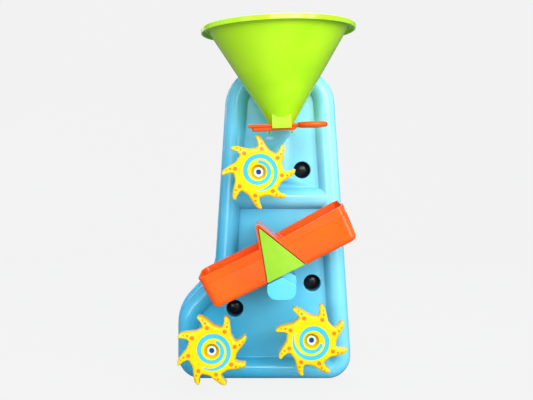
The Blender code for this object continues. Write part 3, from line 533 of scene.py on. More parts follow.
def makeCups(cup):
    # bell with a hollow below, neck and domed head, turned about the well's axis
    share = np.linspace(0, 1, cup["bellSteps"] + 1)
    under = np.stack([(cup["radius"] - cup["lip"]) * share, cup["hollow"] * (1 - share ** 2)], 1)
    bell = np.stack([cup["radius"] + (cup["shoulder"] - cup["radius"]) * share,
                     cup["edge"] + (cup["seat"] - cup["edge"]) * share ** cup["flare"]], 1)
    angle = np.linspace(0, np.pi / 2, cup["domeSteps"] + 1)
    dome = np.stack([cup["head"] * np.cos(angle), cup["headEnd"] - cup["dome"] * (1 - np.sin(angle))], 1)
    profile = path(under, (cup["radius"], 0), bell, (cup["neck"], cup["seat"]),
                   (cup["neck"], cup["neckEnd"]), (cup["head"], cup["neckEnd"]), dome)
    for key, centre in cupCentres.items():
        mesh = solid("cup", lathe(profile, centre, cup["steps"]))
        place("cup" + key.capitalize(), mesh, cupBlack, "panel", ["suction_cup_" + key])


makeCups(cup)
print("suction cups made")


wheel = dict(arms=8, radius=0.0410, valley=0.0275, middle=0.0960, thickness=0.017, rounding=0.003,
             tip=0.0029, curl=13.5, taper=0.22, blunt=0.80, recess=0.008, recessDepth=0.008,
             recessEdge=0.0007, pocket=0.0235, pocketFloor=0.0042, hub=0.0100, bore=0.0043, armSteps=22,
             plump=0.65, droop=0.0015, droopFrom=0.022, droopPower=1.5, edgeSteps=6,
             faceRings=(0.85, 0.6, 0.4, 0.2, 0.08), backRings=(0.3, 0.6))
wheelTurns = {"top": 3.0, "right": -105.5, "left": -23.0}
wheelBodies = {"top": "top_wheel", "right": "right_wheel", "left": "left_wheel"}


def starEdge(wheel, inset):
    # outline of the arms for each inset: radius grows with share, half-width narrows with a power of share,
    # and the arm's middle line leans forward with share. Gives radius, unleaned angle and share
    step = np.linspace(0, 1, wheel["armSteps"] + 1)
    share = np.sin(np.pi / 2 * step) ** 2
    root = wheel["valley"] * np.sin(np.pi / wheel["arms"])
    half = root + (wheel["tip"] - root) * share ** wheel["taper"]
    end = np.clip((share - wheel["blunt"]) / (1 - wheel["blunt"]), 0, 1)
    half = half * np.sqrt(1 - end ** 2)
    spread = np.arcsin(half / (wheel["valley"] + (wheel["radius"] - wheel["valley"]) * share))
    slim = 1 - wheel["plump"] * inset[:, None] / wheel["rounding"]
    spread = spread * (slim + (1 - slim) * (1 - share) ** 2)
    valley = wheel["valley"] - inset[:, None]
    radius = valley + (wheel["radius"] - inset[:, None] / 2 - valley) * share
    order = np.concatenate([np.arange(len(share)), np.arange(len(share) - 2, 0, -1)])
    way = np.where(np.arange(len(order)) < len(share), -1.0, 1.0)
    arm = np.radians(np.arange(wheel["arms"]) * 360 / wheel["arms"] - wheel["curl"])
    angle = (arm[:, None] + (way * spread[:, order])[:, None, :]).reshape(len(inset), -1)
    radius = np.tile(radius[:, order], wheel["arms"])
    share = np.broadcast_to(np.tile(share[order], wheel["arms"]), radius.shape)
    return radius, angle, share


def faceFall(wheel, reach):
    # how far the front face falls back: a power of the share of the way from the flat middle to the tips
    part = np.clip((reach - wheel["droopFrom"]) / (wheel["radius"] - wheel["droopFrom"]), 0, 1)
    return wheel["droop"] * part ** wheel["droopPower"]


def wheelGrid(wheel, centre, turn):
    # rings from the bore's front over recess, face, rounded edge, back, hollow and hub back to the bore
    half = wheel["thickness"] / 2
    bend = np.radians(np.linspace(0, 90, wheel["edgeSteps"] + 1))
    inset = wheel["rounding"] * (1 - np.cos(bend))
    rise = half - wheel["rounding"] * (1 - np.sin(bend))
    radius, angle, share = starEdge(wheel, inset)
    lean = np.radians(wheel["curl"])
    faceReach, faceWay = radius[-1], angle[-1]
    valley, tip = faceReach.min(), faceReach.max()

    def inward(target, part):
        # between the face's edge and a circle, along lines that lean as the arms do
        reach = faceReach + (target - faceReach) * part
        return reach, faceWay + lean * np.clip((reach - valley) / (tip - valley), 0, 1)

    rows = []
    circle = np.ones_like(faceReach)
    floor = half - wheel["recessDepth"]
    bevel = wheel["recessEdge"]
    rows.append((wheel["bore"] * circle, faceWay, floor))
    rows.append(((wheel["recess"] - bevel) * circle, faceWay, floor))
    rows.append((wheel["recess"] * circle, faceWay, floor + bevel))
    for step in np.radians([0, 30, 60, 90]):
        mouth = wheel["recess"] + bevel * (1 - np.cos(step))
        rows.append((mouth * circle, faceWay, half - bevel * (1 - np.sin(step))))
    for part in wheel["faceRings"]:
        rows.append((*inward(wheel["recess"] + bevel, part), half))
    edge = list(zip(radius, angle + lean * share, rise))
    rows += edge[::-1]
    rows += [(reach, way, -level) for reach, way, level in edge]
    for part in wheel["backRings"]:
        rows.append((*inward(wheel["pocket"], part), -half))
    for reach, level in ((wheel["pocket"], -half), (wheel["pocket"], half - wheel["pocketFloor"]),
                         (wheel["hub"], half - wheel["pocketFloor"]), (wheel["hub"], -half),
                         (wheel["bore"], -half)):
        rows.append((reach * circle, faceWay, level))
    reach = np.array([row[0] for row in rows])
    way = np.array([row[1] for row in rows]) + np.radians(turn)
    level = np.array([row[2] for row in rows])[:, None] + np.zeros_like(reach)
    level = level - np.where(level > 0, faceFall(wheel, reach), 0)
    x = centre[0] + reach * np.cos(way)
    z = centre[1] + reach * np.sin(way)
    return np.stack([x, -(wheel["middle"] + level), z], 2)


# radii and widths along the spiral, and each arm's dots as (radius, degrees, diameter), in millimetres
prints = dict(radii=(11.4, 11.9, 11.9, 14.5, 17.8, 19.3, 20.5), widths=(3.4, 4.6, 4.4, 5.4, 5.1, 4.6, 1.6),
              dots=((26.1, -11.0, 4.6), (31.8, -9.3, 2.5), (35.8, -6.0, 1.7)), lift=0.00008, sink=0.0002,
              turns=1.54, start=91.5, meanRadius=0.015, ramp=0.0012, tail=0.012, least=0.00004, steps=220,
              across=9, dotSteps=28)


def smoothCurve(values, at):
    # values at even steps joined by cubics (Catmull-Rom)
    value = np.pad(np.array(values, float), 1, mode="edge")
    value[0] = 2 * value[1] - value[2]
    value[-1] = 2 * value[-2] - value[-3]
    spot = np.clip(at, 0, 1) * (len(values) - 1)
    cell = np.minimum(spot.astype(int), len(values) - 2)
    part = spot - cell
    before, here, there, after = (value[cell + step] for step in range(4))
    linear = there - before
    square = 2 * before - 5 * here + 4 * there - after
    cubic = 3 * here - before - 3 * there + after
    return 0.5 * (2 * here + linear * part + square * part ** 2 + cubic * part ** 3)


def spiralGrid(wheel, prints, centre, turn):
    # ribbon along a spiral: radius and width follow their curves, with a blunt start and a fine tail
    at = np.linspace(0, 1, prints["steps"])
    radius = smoothCurve(prints["radii"], at) / 1000
    width = smoothCurve(prints["widths"], at) / 1000
    length = at * prints["turns"] * 2 * np.pi * prints["meanRadius"]
    start = np.clip(length / prints["ramp"], 0, 1)
    width = width * np.sqrt(1 - (1 - start) ** 2)
    finish = np.clip((length[-1] - length) / prints["tail"], 0, 1)
    width = np.maximum(width * np.sqrt(finish), prints["least"])
    angle = np.radians(turn + prints["start"]) - at * prints["turns"] * 2 * np.pi
    side = np.linspace(-0.5, 0.5, prints["across"])
    front = wheel["middle"] + wheel["thickness"] / 2
    reach = radius[:, None] + side * width[:, None]
    top = np.stack([reach, np.full(reach.shape, front + prints["lift"])], 2)
    bottom = top[:, ::-1] * (1, 0) + (0, front - prints["sink"])
    ring = np.concatenate([top, bottom], 1)
    return np.stack([centre[0] + ring[..., 0] * np.cos(angle)[:, None], -ring[..., 1],
                     centre[1] + ring[..., 0] * np.sin(angle)[:, None]], 2)


def joinMeshes(name, meshes):
    work = bmesh.new()
    for mesh in meshes:
        work.from_mesh(mesh)
    joined = bpy.data.meshes.new(name)
    work.to_mesh(joined)
    work.free()
    return joined


def makeWheels(wheel, prints):
    for key, centre in wheelCentres.items():
        turn = wheelTurns[key]
        body = wheelBodies[key]
        star = solid("wheel", wheelGrid(wheel, centre, turn), loop=True)
        place("wheel" + key.capitalize(), star, wheelYellow, body, ["star_wheel_" + key])
        spiral = solid("spiral", spiralGrid(wheel, prints, centre, turn))
        place("spiral" + key.capitalize(), spiral, printBlue, body)
        low = wheel["middle"] + wheel["thickness"] / 2 - prints["sink"]
        high = low + prints["sink"] + prints["lift"]
        dots = []
        for arm in range(wheel["arms"]):
            for reach, way, size in prints["dots"]:
                angle = np.radians(turn + arm * 360 / wheel["arms"] + way)
                spot = (centre[0] + reach / 1000 * np.cos(angle), centre[1] + reach / 1000 * np.sin(angle))
                half = size / 2000
                profile = path((0, low), (half, low), (half, high), (half / 2, high), (0, high))
                grid = lathe(profile, spot, prints["dotSteps"])
                away = np.hypot(grid[..., 0] - centre[0], grid[..., 2] - centre[1])
                grid[..., 1] += faceFall(wheel, away)
                dots.append(solid("dot", grid))
        place("dots" + key.capitalize(), joinMeshes("dots", dots), printOrange, body)


makeWheels(wheel, prints)
print("wheels made")


pin = dict(radius=0.004, end=0.0532, headBack=0.0968, head=0.0053, headHeight=0.0042, hole=0.0029,
           holeDepth=0.005, holeEdge=0.0004, mouth=0.0012, edge=0.0007, endEdge=0.0005, steps=56)


def makePins(pin):
    # headed pin with a blind hole in the head, turned about the wheel's axis; the inside of the hole is
    # painted deep blue as painted shade
    front = pin["headBack"] + pin["headHeight"]
    bevel, lip = pin["endEdge"], pin["holeEdge"]
    holeFloor = front - pin["holeDepth"]
    profile = path((0, pin["end"]), arc(pin["radius"] - bevel, pin["end"] + bevel, bevel, 270, 360, 3),
                   (pin["radius"], pin["headBack"]), (pin["head"], pin["headBack"]),
                   arc(pin["head"] - pin["edge"], front - pin["edge"], pin["edge"], 0, 90, 5),
                   arc(pin["hole"] + lip, front - lip, lip, 90, 180, 3),
                   (pin["hole"], front - pin["mouth"]), (pin["hole"], holeFloor), (0, holeFloor))
    for key, centre in wheelCentres.items():
        mesh = solid("pin", lathe(profile, centre, pin["steps"]))
        # faces inside the hole take the deep blue: painted shade
        middles = np.zeros(len(mesh.polygons) * 3)
        mesh.polygons.foreach_get("center", middles)
        middles = middles.reshape(-1, 3)
        reach = np.hypot(middles[:, 0] - centre[0], middles[:, 2] - centre[1])
        depth = front + middles[:, 1]
        inside = (reach < pin["hole"]) & (depth > lip) & (depth < 2 * pin["holeDepth"])
        finish = [pinPale, pinHoleShade]
        place("pin" + key.capitalize(), mesh, finish, "panel", ["wheel_pin_" + key])
        mesh.polygons.foreach_set("material_index", inside.astype(np.int32))


makePins(pin)
print("pins made")


scoop = dict(tilt=26.4, wall=0.0021, base=0.0127, top=0.0250, reach=0.0890, draft=0.0022, endDraft=0.0032,
             depth=0.0695, bend=0.012, rise=0.0020, flare=0.042, corner=0.0095, edge=0.0055, front=0.123,
             band=0.0095, bandStep=0.0004, bandIn=0.0009, bandOut=0.0003, lip=0.0006, lipBow=0.3,
             lipOver=0.05, frameHalf=0.0244, apex=21.1, lean=4.1, leg=0.0017, legBack=0.0002,
             apexRadius=0.0028, innerRadius=0.0019, footRadius=0.0006, frameEdge=0.0006, webBack=0.1154,
             webFront=0.1178, webRaise=0.0012, sleeve=0.0070, sleeveBack=0.0714, sleeveJoin=0.001,
             bore=0.0043, capBack=0.1204, capEdge=0.0004, capFoot=0.0018, gap=0.0013, cornerSteps=12,
             edgeSteps=8, roundSteps=48)


def frameOutline(scoop, half, bottom, radius, foot):
    # triangle of two legs that lean to the left over a level foot
    legs = [(scoop["apex"] + scoop["lean"], (half, -scoop["base"]), radius),
            (180 - scoop["apex"] + scoop["lean"], (-half, -scoop["base"]), foot)]
    return outline(legs + [(270, (0, -bottom), foot)], scoop["cornerSteps"])


def scoopDraft(scoop, level, full):
    # how much smaller the plan is at a level: in proportion to its depth below the rim
    return full * (scoop["top"] - level) / (scoop["top"] + scoop["base"])


def scoopRing(scoop, spans, corners, level):
    # rounded plan of a scoop at one height, rising to the back with the height above the base
    flat = outline(rectangle(*spans, corners), scoop["cornerSteps"])[0]
    share = (level + scoop["base"]) / (scoop["top"] + scoop["base"])
    rise = scoop["rise"] * share * (flat[:, 1] / scoop["depth"] + 0.5)
    middle = scoop["front"] - scoop["depth"] / 2
    return np.stack([flat[:, 0], flat[:, 1] - middle, level + rise], 1)


def scoopTub(scoop):
    # outside of both scoops: rounded foot, drafted sides, a band below the rim and a rounded lip
    top, lip, out = scoop["top"], scoop["lip"], scoop["bandOut"]
    bandBottom = top - scoop["band"]
    bow = lip * scoop["lipBow"]
    levels = path(roundedFoot(-scoop["base"], scoop["edge"], scoop["edgeSteps"]), (bandBottom, 0),
                  (bandBottom + scoop["bandStep"], scoop["bandIn"]), (top - lip, out),
                  (top - bow, out + bow), (top, out + lip))
    half = scoop["depth"] / 2
    rows = []
    for level, rounding in levels:
        inset = scoopDraft(scoop, level, scoop["draft"]) + rounding
        end = scoop["reach"] - scoopDraft(scoop, level, scoop["endDraft"]) - rounding
        spans = (-end, end, rounding - half, half - inset)
        rows.append(scoopRing(scoop, spans, [scoop["corner"] - inset] * 4, level))
    return solid("scoops", np.array(rows))


def scoopCavities(scoop):
    # hollow of each scoop, up to the leaning legs of the frame
    top, lip, wall, base = scoop["top"], scoop["lip"], scoop["wall"], scoop["base"]
    levels = path(roundedFoot(wall - base, scoop["edge"] - wall, scoop["edgeSteps"]),
                  (top - lip, 0), (top + lip * scoop["lipOver"], -lip), (top + wall, -lip))
    cavities = []
    for mirror in (-1, 1):
        slope = np.tan(np.radians(scoop["apex"] + mirror * scoop["lean"]))
        rows = []
        for level, rounding in levels:
            inset = scoopDraft(scoop, level, scoop["draft"]) + wall + rounding
            end = scoop["reach"] - scoopDraft(scoop, level, scoop["endDraft"]) - wall - rounding
            inner = scoop["frameHalf"] + wall / 2 - (level + base) * slope
            depth = scoop["depth"] / 2 - inset
            outer = scoop["corner"] - inset
            rows.append(scoopRing(scoop, (inner, end, -depth, depth), (outer, wall, wall, outer), level))
        cavities.append(solid("cavity", np.array(rows) * (mirror, 1, 1)))
    return cavities


def legHalf(scoop):
    # half-width at the base over the outsides of the frame's legs
    return scoop["frameHalf"] + scoop["leg"] / np.cos(np.radians(scoop["apex"]))


def scoopFrame(scoop):
    # legs of the A-frame, the tunnel between them and the web that closes it near the front
    bevel = scoop["frameEdge"]
    back = scoop["front"] - scoop["depth"]
    face = scoop["front"] - scoop["legBack"]
    foot = scoop["base"] - scoop["webRaise"]
    overlap = scoop["wall"] / 2
    legEdge = frameOutline(scoop, legHalf(scoop), foot, scoop["apexRadius"], scoop["footRadius"])
    legDepth = path(arc(bevel, back + bevel, bevel, 270, 180, 4),
                    arc(bevel, face - bevel, bevel, 180, 90, 4))
    tunnelEdge = frameOutline(scoop, scoop["frameHalf"], scoop["base"] + scoop["edge"],
                              scoop["innerRadius"], scoop["footRadius"])
    tunnelDepth = path((0, back - bevel), (0, scoop["front"] + bevel))
    webEdge = frameOutline(scoop, scoop["frameHalf"] + overlap, foot, scoop["innerRadius"] + overlap,
                           scoop["footRadius"])
    webDepth = path((0, scoop["webBack"]), (0, scoop["webFront"]))
    return (solid("legs", sweep(legEdge, legDepth)), solid("tunnel", sweep(tunnelEdge, tunnelDepth)),
            solid("web", sweep(webEdge, webDepth)))


def bendScoops(scoop, shell):
    # both scoops bend up a little away from the frame, and the right one's rim a little more
    points = getPoints(shell)
    out = np.clip(np.abs(points[:, 0]) - legHalf(scoop), 0, None)
    height = scoop["top"] + scoop["base"]
    share = np.where(points[:, 0] > 0, (points[:, 2] + scoop["base"]) / height, 0)
    points[:, 2] += out * (scoop["bend"] + scoop["flare"] * share)
    setPoints(shell, points)


def makeScoops(scoop):
    legs, tunnel, web = scoopFrame(scoop)
    sleeve = rod(scoop["sleeve"], scoop["sleeveBack"], scoop["webBack"] + scoop["sleeveJoin"])
    sleeve = solid("sleeve", lathe(sleeve, (0, 0), scoop["roundSteps"]))
    clear = scoop["frameEdge"]
    bore = rod(scoop["bore"], scoop["sleeveBack"] - clear, scoop["webFront"] + clear)
    bore = solid("bore", lathe(bore, (0, 0), scoop["roundSteps"]))
    shell = combine(scoopTub(scoop), scoopCavities(scoop), "DIFFERENCE")
    shell = combine(shell, [legs], "UNION")
    shell = combine(shell, [tunnel], "DIFFERENCE")
    shell = combine(shell, [web, sleeve], "UNION")
    shell = combine(shell, [bore], "DIFFERENCE")
    bendScoops(scoop, shell)
    shell = tip(shell, scoop["tilt"])
    place("scoops", shell, scoopOrange, "scoops", ["seesaw_scoops"], even=True)


def makeCap(scoop):
    # triangle in the front of the frame, with a gap round it
    gap, bevel = scoop["gap"], scoop["capEdge"]
    edge = frameOutline(scoop, scoop["frameHalf"], scoop["base"], scoop["innerRadius"], scoop["capFoot"])
    thickness = path((gap, scoop["capBack"]), arc(gap + bevel, scoop["front"] - bevel, bevel, 180, 90, 6))
    cap = tip(solid("cap", sweep(edge, thickness)), scoop["tilt"])
    place("cap", cap, capGreen, "scoops", ["seesaw_cap"], even=True)


makeScoops(scoop)
makeCap(scoop)
print("scoops and cap made")


funnel = dict(front=0.1048, top=0.2585, neck=0.1535, neckRadius=0.014, angle=31.6, lean=2.0, wall=0.0022,
              flange=0.0075, lip=0.0055, lipWall=0.002, edge=0.0008, outlet=0.0105, bottom=0.1523,
              steps=160, near=0.0148, far=0.0169, ledge=0.0018, ledgeTop=0.1488, ledgeBottom=0.1470,
              guideTop=0.1632, guideHalf=0.0105, guideEdge=0.0005, armX=0.0134, armHalf=0.0015,
              armBottom=0.149, armTop=0.178, armBack=0.0864, floor=0.038, hookBack=0.0323,
              hookFront=0.0353, floorBack=0.0356, hookTop=0.165, hookEnd=0.1402, hookSeat=0.1443,
              gap=0.0003, guideCorner=0.0006, coneSteps=23, neckBend=0.002, neckLead=0.001,
              neckStep=0.0002, outletRise=0.0001, flangeLead=0.001, flangeStep=0.0008, mouthLead=0.0015,
              mouthStep=0.0016, mouthEdge=0.0004, clear=0.001)


def coneRadius(funnel, level):
    # outer radius: the neck's, growing evenly with the height above it
    return funnel["neckRadius"] + (level - funnel["neck"]) * np.tan(np.radians(funnel["angle"]))


def coneHollow(funnel):
    # inner face of the cone from the mouth down to the outlet, and the wall's thickness across
    across = funnel["wall"] / np.cos(np.radians(funnel["angle"]))
    slope = np.tan(np.radians(funnel["angle"]))
    narrow = max(funnel["neck"] + (funnel["outlet"] + across - funnel["neckRadius"]) / slope,
                 funnel["bottom"] + funnel["outletRise"])
    heights = np.linspace(funnel["top"] - funnel["mouthLead"], narrow, funnel["coneSteps"] + 1)
    return np.stack([coneRadius(funnel, heights) - across, heights], 1), across


def funnelBody(funnel):
    # closed section turned about the axis: neck, cone, flange, rolled lip, mouth and inner face
    bevel, top, neck = funnel["edge"], funnel["top"], funnel["neck"]
    innerCone, across = coneHollow(funnel)
    under = top - funnel["wall"]
    flangeStart = coneRadius(funnel, under)
    rim = flangeStart + funnel["flange"]
    lipInner = rim - funnel["lipWall"]
    lipBottom = top - funnel["lip"]
    heights = np.linspace(neck + funnel["neckBend"], under - funnel["flangeLead"], funnel["coneSteps"] + 1)
    outerCone = np.stack([coneRadius(funnel, heights), heights], 1)
    mouth = coneRadius(funnel, top) - across
    profile = path((funnel["outlet"], funnel["bottom"]), (funnel["neckRadius"], funnel["bottom"]),
                   (funnel["neckRadius"], neck - funnel["neckLead"]),
                   (funnel["neckRadius"] + funnel["neckStep"], neck), outerCone,
                   (flangeStart + funnel["flangeStep"], under), (lipInner, under),
                   (lipInner, lipBottom + bevel), arc(rim - bevel, lipBottom + bevel, bevel, 270, 360, 4),
                   arc(rim - bevel, top - bevel, bevel, 0, 90, 5), (mouth + funnel["mouthStep"], top),
                   (mouth + funnel["mouthEdge"], top - funnel["mouthEdge"]), innerCone)
    grid = lathe(profile, (0, -funnel["front"]), funnel["steps"], upright=True)
    return solid("funnel", grid, loop=True)


def funnelInside(funnel):
    # clears the guides and arms out of the cone
    innerCone, across = coneHollow(funnel)
    below = funnel["bottom"] - funnel["clear"]
    above = funnel["top"] + 2 * funnel["clear"]
    inside = path((0, below), (funnel["outlet"], below), innerCone[::-1],
                  (coneRadius(funnel, above) - across, above), (0, above))
    return solid("inside", lathe(inside, (0, -funnel["front"]), funnel["steps"], upright=True))


def guideParts(funnel):
    # block with a ledge before and behind the gate, its section carried along X between rounded ends
    corner, rounding = funnel["guideCorner"], funnel["guideEdge"]
    section = outline([(0, (funnel["far"], 0), corner), (90, (0, funnel["guideTop"]), corner),
                       (180, (funnel["near"], 0), corner), (90, (0, funnel["ledgeTop"]), corner),
                       (180, (funnel["near"] - funnel["ledge"], 0), corner),
                       (270, (0, funnel["ledgeBottom"]), corner)], 4)
    ends = path(arc(rounding, -funnel["guideHalf"] + rounding, rounding, 270, 180, 4),
                arc(rounding, funnel["guideHalf"] - rounding, rounding, 180, 90, 4))
    flat = sweep(section, ends)
    guides = []
    for way in (-1, 1):
        guide = np.stack([-flat[..., 1], way * flat[..., 0] - funnel["front"], flat[..., 2]], 2)
        guides.append(solid("guide", guide))
    return guides


def armParts(funnel):
    # two flat arms from the cone to the panel, each with a hook behind the panel's floor
    wallFace = funnel["floor"] + funnel["gap"]
    arm = path((funnel["front"], funnel["neck"]), (funnel["front"], funnel["armTop"]),
               (wallFace, funnel["armTop"]), (wallFace, funnel["hookTop"]),
               (funnel["hookBack"], funnel["hookTop"]), (funnel["hookBack"], funnel["hookEnd"]),
               (funnel["hookFront"], funnel["hookEnd"]), (funnel["hookFront"], funnel["hookSeat"]),
               (funnel["floorBack"], funnel["hookSeat"]), (funnel["floor"], funnel["armBottom"]),
               (funnel["armBack"], funnel["armBottom"]), (funnel["armBack"], funnel["neck"]))
    arms = []
    for side in (-1, 1):
        x = side * funnel["armX"] + np.array([-funnel["armHalf"], funnel["armHalf"]])
        x = np.broadcast_to(x[:, None], (2, len(arm)))
        both = np.broadcast_to(arm[None], (2, len(arm), 2))
        arms.append(solid("arm", np.stack([x, -both[..., 0], both[..., 1]], 2)))
    return arms


def makeFunnel(funnel):
    shell = combine(funnelBody(funnel), guideParts(funnel) + armParts(funnel), "UNION")
    shell = combine(shell, [funnelInside(funnel)], "DIFFERENCE")
    shell = tip(shell, funnel["lean"], funnel["neck"])
    place("funnelCone", shell, funnelGreen, "panel", ["funnel"], even=True)


gate = dict(front=0.1048, left=0.037, plateTop=0.152, plateBottom=0.1491, halfDepth=0.0145,
            keelHalf=0.0124, keelBottom=0.1451, keelEdge=0.0007, keelCorner=0.0035, keelJoin=0.0015,
            slopeLeft=0.0015, slopeRight=0.0060, stop=0.003, stopReach=0.0015, stopCorner=0.0008,
            plateCorner=0.0012, hole=0.0090, holeX=-0.0232, ringX=0.0337, ring=0.0172, ringBore=0.0100,
            ringBottom=0.1473, ringTop=0.1535, ringEdge=0.0028, edge=0.0005, gap=0.0003, clear=0.001,
            ringSteps=72, holeSteps=56, edgeSteps=4, cornerSteps=5)


def gateKeel(gate, end):
    # rounded plan carried upwards while both ends slope outwards
    bottom, plateBottom = gate["keelBottom"], gate["plateBottom"]
    lower = roundedFoot(bottom, gate["keelEdge"], gate["edgeSteps"])
    rows = []
    for level, inset in path(lower, (plateBottom + gate["keelJoin"], 0)):
        slope = max(0.0, (plateBottom - level) / (plateBottom - bottom))
        low = gate["stop"] - gate["left"] + gate["gap"] + slope * gate["slopeLeft"] + inset
        high = end - slope * gate["slopeRight"] - inset
        half = gate["keelHalf"] - inset
        sides = rectangle(low, high, -half, half, [gate["keelCorner"]] * 4)
        flat = outline(sides, gate["cornerSteps"])[0]
        rows.append(np.stack([flat[:, 0], flat[:, 1] - gate["front"], np.full(len(flat), level)], 1))
    return solid("keel", np.array(rows))


def gateRing(gate):
    # finger ring: a section with four wide roundings turned about an upright axis
    bevel = gate["ringEdge"]
    outer, inner = gate["ring"] - bevel, gate["ringBore"] + bevel
    low, high = gate["ringBottom"] + bevel, gate["ringTop"] - bevel
    section = path(arc(outer, low, bevel, 270, 360, 6), arc(outer, high, bevel, 0, 90, 6),
                   arc(inner, high, bevel, 90, 180, 6), arc(inner, low, bevel, 180, 270, 6))
    grid = lathe(section, (gate["ringX"], -gate["front"]), gate["ringSteps"], upright=True)
    return solid("ring", grid, loop=True)


def makeGate(gate):
    # plate with a stop across its left end, a keel below, a ring at its right end and a round hole
    y, left = -gate["front"], -gate["left"]
    low, high, gap = gate["plateBottom"], gate["plateTop"], gate["gap"]
    half = gate["halfDepth"]
    reach = half + gate["stopReach"]
    end = gate["ringX"] - (gate["ring"] + gate["ringBore"]) / 2
    plate = slab((left, y - half, low), (end - gate["stop"], y + half, high),
                 gate["plateCorner"], gate["edge"])
    stop = slab((left + gap, y - reach, low + gap), (left + gate["stop"], y + reach, high - gap),
                gate["stopCorner"], gate["edge"])
    bore = rod(gate["hole"], gate["keelBottom"] - gate["clear"], high + gate["clear"])
    hole = solid("hole", lathe(bore, (gate["holeX"], y), gate["holeSteps"], upright=True))
    added = [solid("stop", stop), gateKeel(gate, end), gateRing(gate)]
    shell = combine(solid("gate", plate), added, "UNION")
    shell = combine(shell, [hole], "DIFFERENCE")
    shell = tip(shell, funnel["lean"], funnel["neck"])
    place("gateSlide", shell, gateOrange, "gate", ["gate_slide"], even=True)


makeFunnel(funnel)
makeGate(gate)
print("funnel and gate made")

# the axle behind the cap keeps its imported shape
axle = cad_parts["seesaw_axle"]
axle.data.materials.clear()
axle.data.materials.append(pinPale)


stage = dict(floorZ=-0.1487, reach=3.0, wall=1.1, bend=0.5, floor=(112, 114, 118), shown=0.9, level=0.97,
             glossy=0.1, sky=0.60, far=0.9, roughness=0.7, steps=24)
lights = (  # name, place, size, power, tint
    ("key", (0.62, -0.95, 0.74), (0.8, 0.8), 6.0, (1.0, 0.985, 0.96)),
    ("front", (0.25, -1.45, 0.52), (1.1, 0.5), 11.5, (1.0, 1.0, 1.0)),
    ("right", (0.95, -1.2, 0.05), (0.8, 0.8), 4.2, (1.0, 1.0, 1.0)),
    ("fill", (-1.1, -1.2, 0.25), (0.5, 0.8), 2.2, (0.95, 0.98, 1.0)),
    ("left", (-0.55, -1.1, 0.0), (0.4, 0.25), 1.8, (1.0, 1.0, 1.0)),
    ("top", (0.0, -0.6, 1.2), (1.0, 0.6), 5.0, (1.0, 1.0, 1.0)),
    ("strip", (0.85, -0.9, 0.25), (0.06, 0.9), 2.0, (1.0, 1.0, 1.0)),
    ("low", (0.05, -0.95, -0.10), (0.8, 0.08), 0.12, (1.0, 1.0, 1.0)),
    ("behind", (0.2, 0.9, 0.9), (0.9, 0.9), 5.0, (1.0, 1.0, 1.0)),
    ("rear", (-0.9, 1.45, 0.55), (0.8, 0.8), 2.5, (1.0, 1.0, 1.0)),
)
lightAim = (0.0, -0.06, 0.06)
view = dict(at=(-0.0165, -0.975, 0.1115), lens=53.36, shift=-0.0732)


def pale(tree, plain, seen, glossy):
    # one value for the camera, part of the way to it for reflections, the plain one for everything else
    ray = node(tree, "LightPath")
    share = node(tree, "Math", {1: glossy}, operation="MULTIPLY_ADD", use_clamp=True)
    tree.links.new(ray.outputs["Is Glossy Ray"], share.inputs[0])
    tree.links.new(ray.outputs["Is Camera Ray"], share.inputs[2])
    span = node(tree, "MapRange", {"To Min": plain, "To Max": seen})
    tree.links.new(share.outputs["Value"], span.inputs["Value"])
    return span.outputs["Result"]


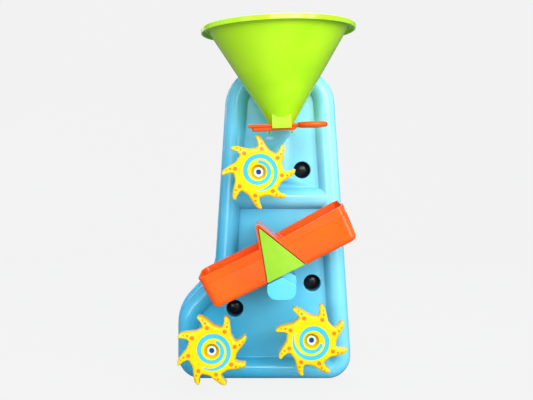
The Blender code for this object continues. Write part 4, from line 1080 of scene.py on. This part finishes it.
def makeStage(stage):
    # floor that bends up into a backdrop: level stretch, quarter circle, upright stretch, carried along X
    bend = stage["bend"]
    curve = path((-stage["reach"], 0), arc(stage["wall"], bend, bend, 270, 360, stage["steps"]),
                 (stage["wall"] + bend, stage["reach"]))
    count = len(curve)
    along = np.repeat([[-stage["reach"]], [stage["reach"]]], count, 1)
    level = np.tile(curve[:, 1] + stage["floorZ"], (2, 1))
    grid = np.stack([along, np.tile(curve[:, 0], (2, 1)), level], 2)
    step = np.arange(count - 1)
    faces = np.stack([step, step + count, step + count + 1, step + 1], 1)
    mesh = bpy.data.meshes.new("floor")
    mesh.from_pydata(grid.reshape(-1, 3).tolist(), [], faces.tolist())
    mesh.shade_smooth()
    floor = bpy.data.objects.new("floor", mesh)
    bpy.context.scene.collection.objects.link(floor)
    paint = bpy.data.materials.new("floorPale")
    paint.use_nodes = True
    tree = paint.node_tree
    shader = tree.nodes["Principled BSDF"]
    shader.inputs["Base Color"].default_value = colour(*stage["floor"])
    shader.inputs["Roughness"].default_value = stage["roughness"]
    glow = node(tree, "Emission", {"Color": (1, 1, 1, 1), "Strength": stage["level"]})
    blend = node(tree, "MixShader")
    tree.links.new(pale(tree, 0.0, stage["shown"], stage["glossy"]), blend.inputs["Fac"])
    tree.links.new(shader.outputs["BSDF"], blend.inputs[1])
    tree.links.new(glow.outputs["Emission"], blend.inputs[2])
    tree.links.new(blend.outputs["Shader"], tree.nodes["Material Output"].inputs["Surface"])
    mesh.materials.append(paint)


def makeSky(stage):
    # white all round, brighter where the camera sees it
    world = bpy.data.worlds.new("studio")
    world.use_nodes = True
    bpy.context.scene.world = world
    tree = world.node_tree
    sky = tree.nodes["Background"]
    sky.inputs["Color"].default_value = (1, 1, 1, 1)
    tree.links.new(pale(tree, stage["sky"], stage["far"], stage["glossy"]), sky.inputs["Strength"])


def makeLights(rows):
    for name, at, size, power, tint in rows:
        data = bpy.data.lights.new(name, "AREA")
        data.shape = "RECTANGLE"
        data.size, data.size_y = size
        data.energy = power
        data.color = tint
        lamp = bpy.data.objects.new(name, data)
        bpy.context.scene.collection.objects.link(lamp)
        lamp.location = at
        away = np.array(at) - np.array(lightAim)
        away = away / np.linalg.norm(away)
        lamp.rotation_euler = (np.arccos(away[2]), 0, np.arctan2(away[0], -away[1]))


def makeCamera(view):
    data = bpy.data.cameras.new("camera")
    data.lens = view["lens"]
    data.shift_y = view["shift"]
    camera = bpy.data.objects.new("camera", data)
    bpy.context.scene.collection.objects.link(camera)
    camera.location = view["at"]
    camera.rotation_euler = (np.pi / 2, 0, 0)  # level, along Y
    bpy.context.scene.camera = camera


makeStage(stage)
makeSky(stage)
makeLights(lights)
makeCamera(view)
bpy.context.scene.view_settings.view_transform = "Standard"
print("stage, light and camera made")
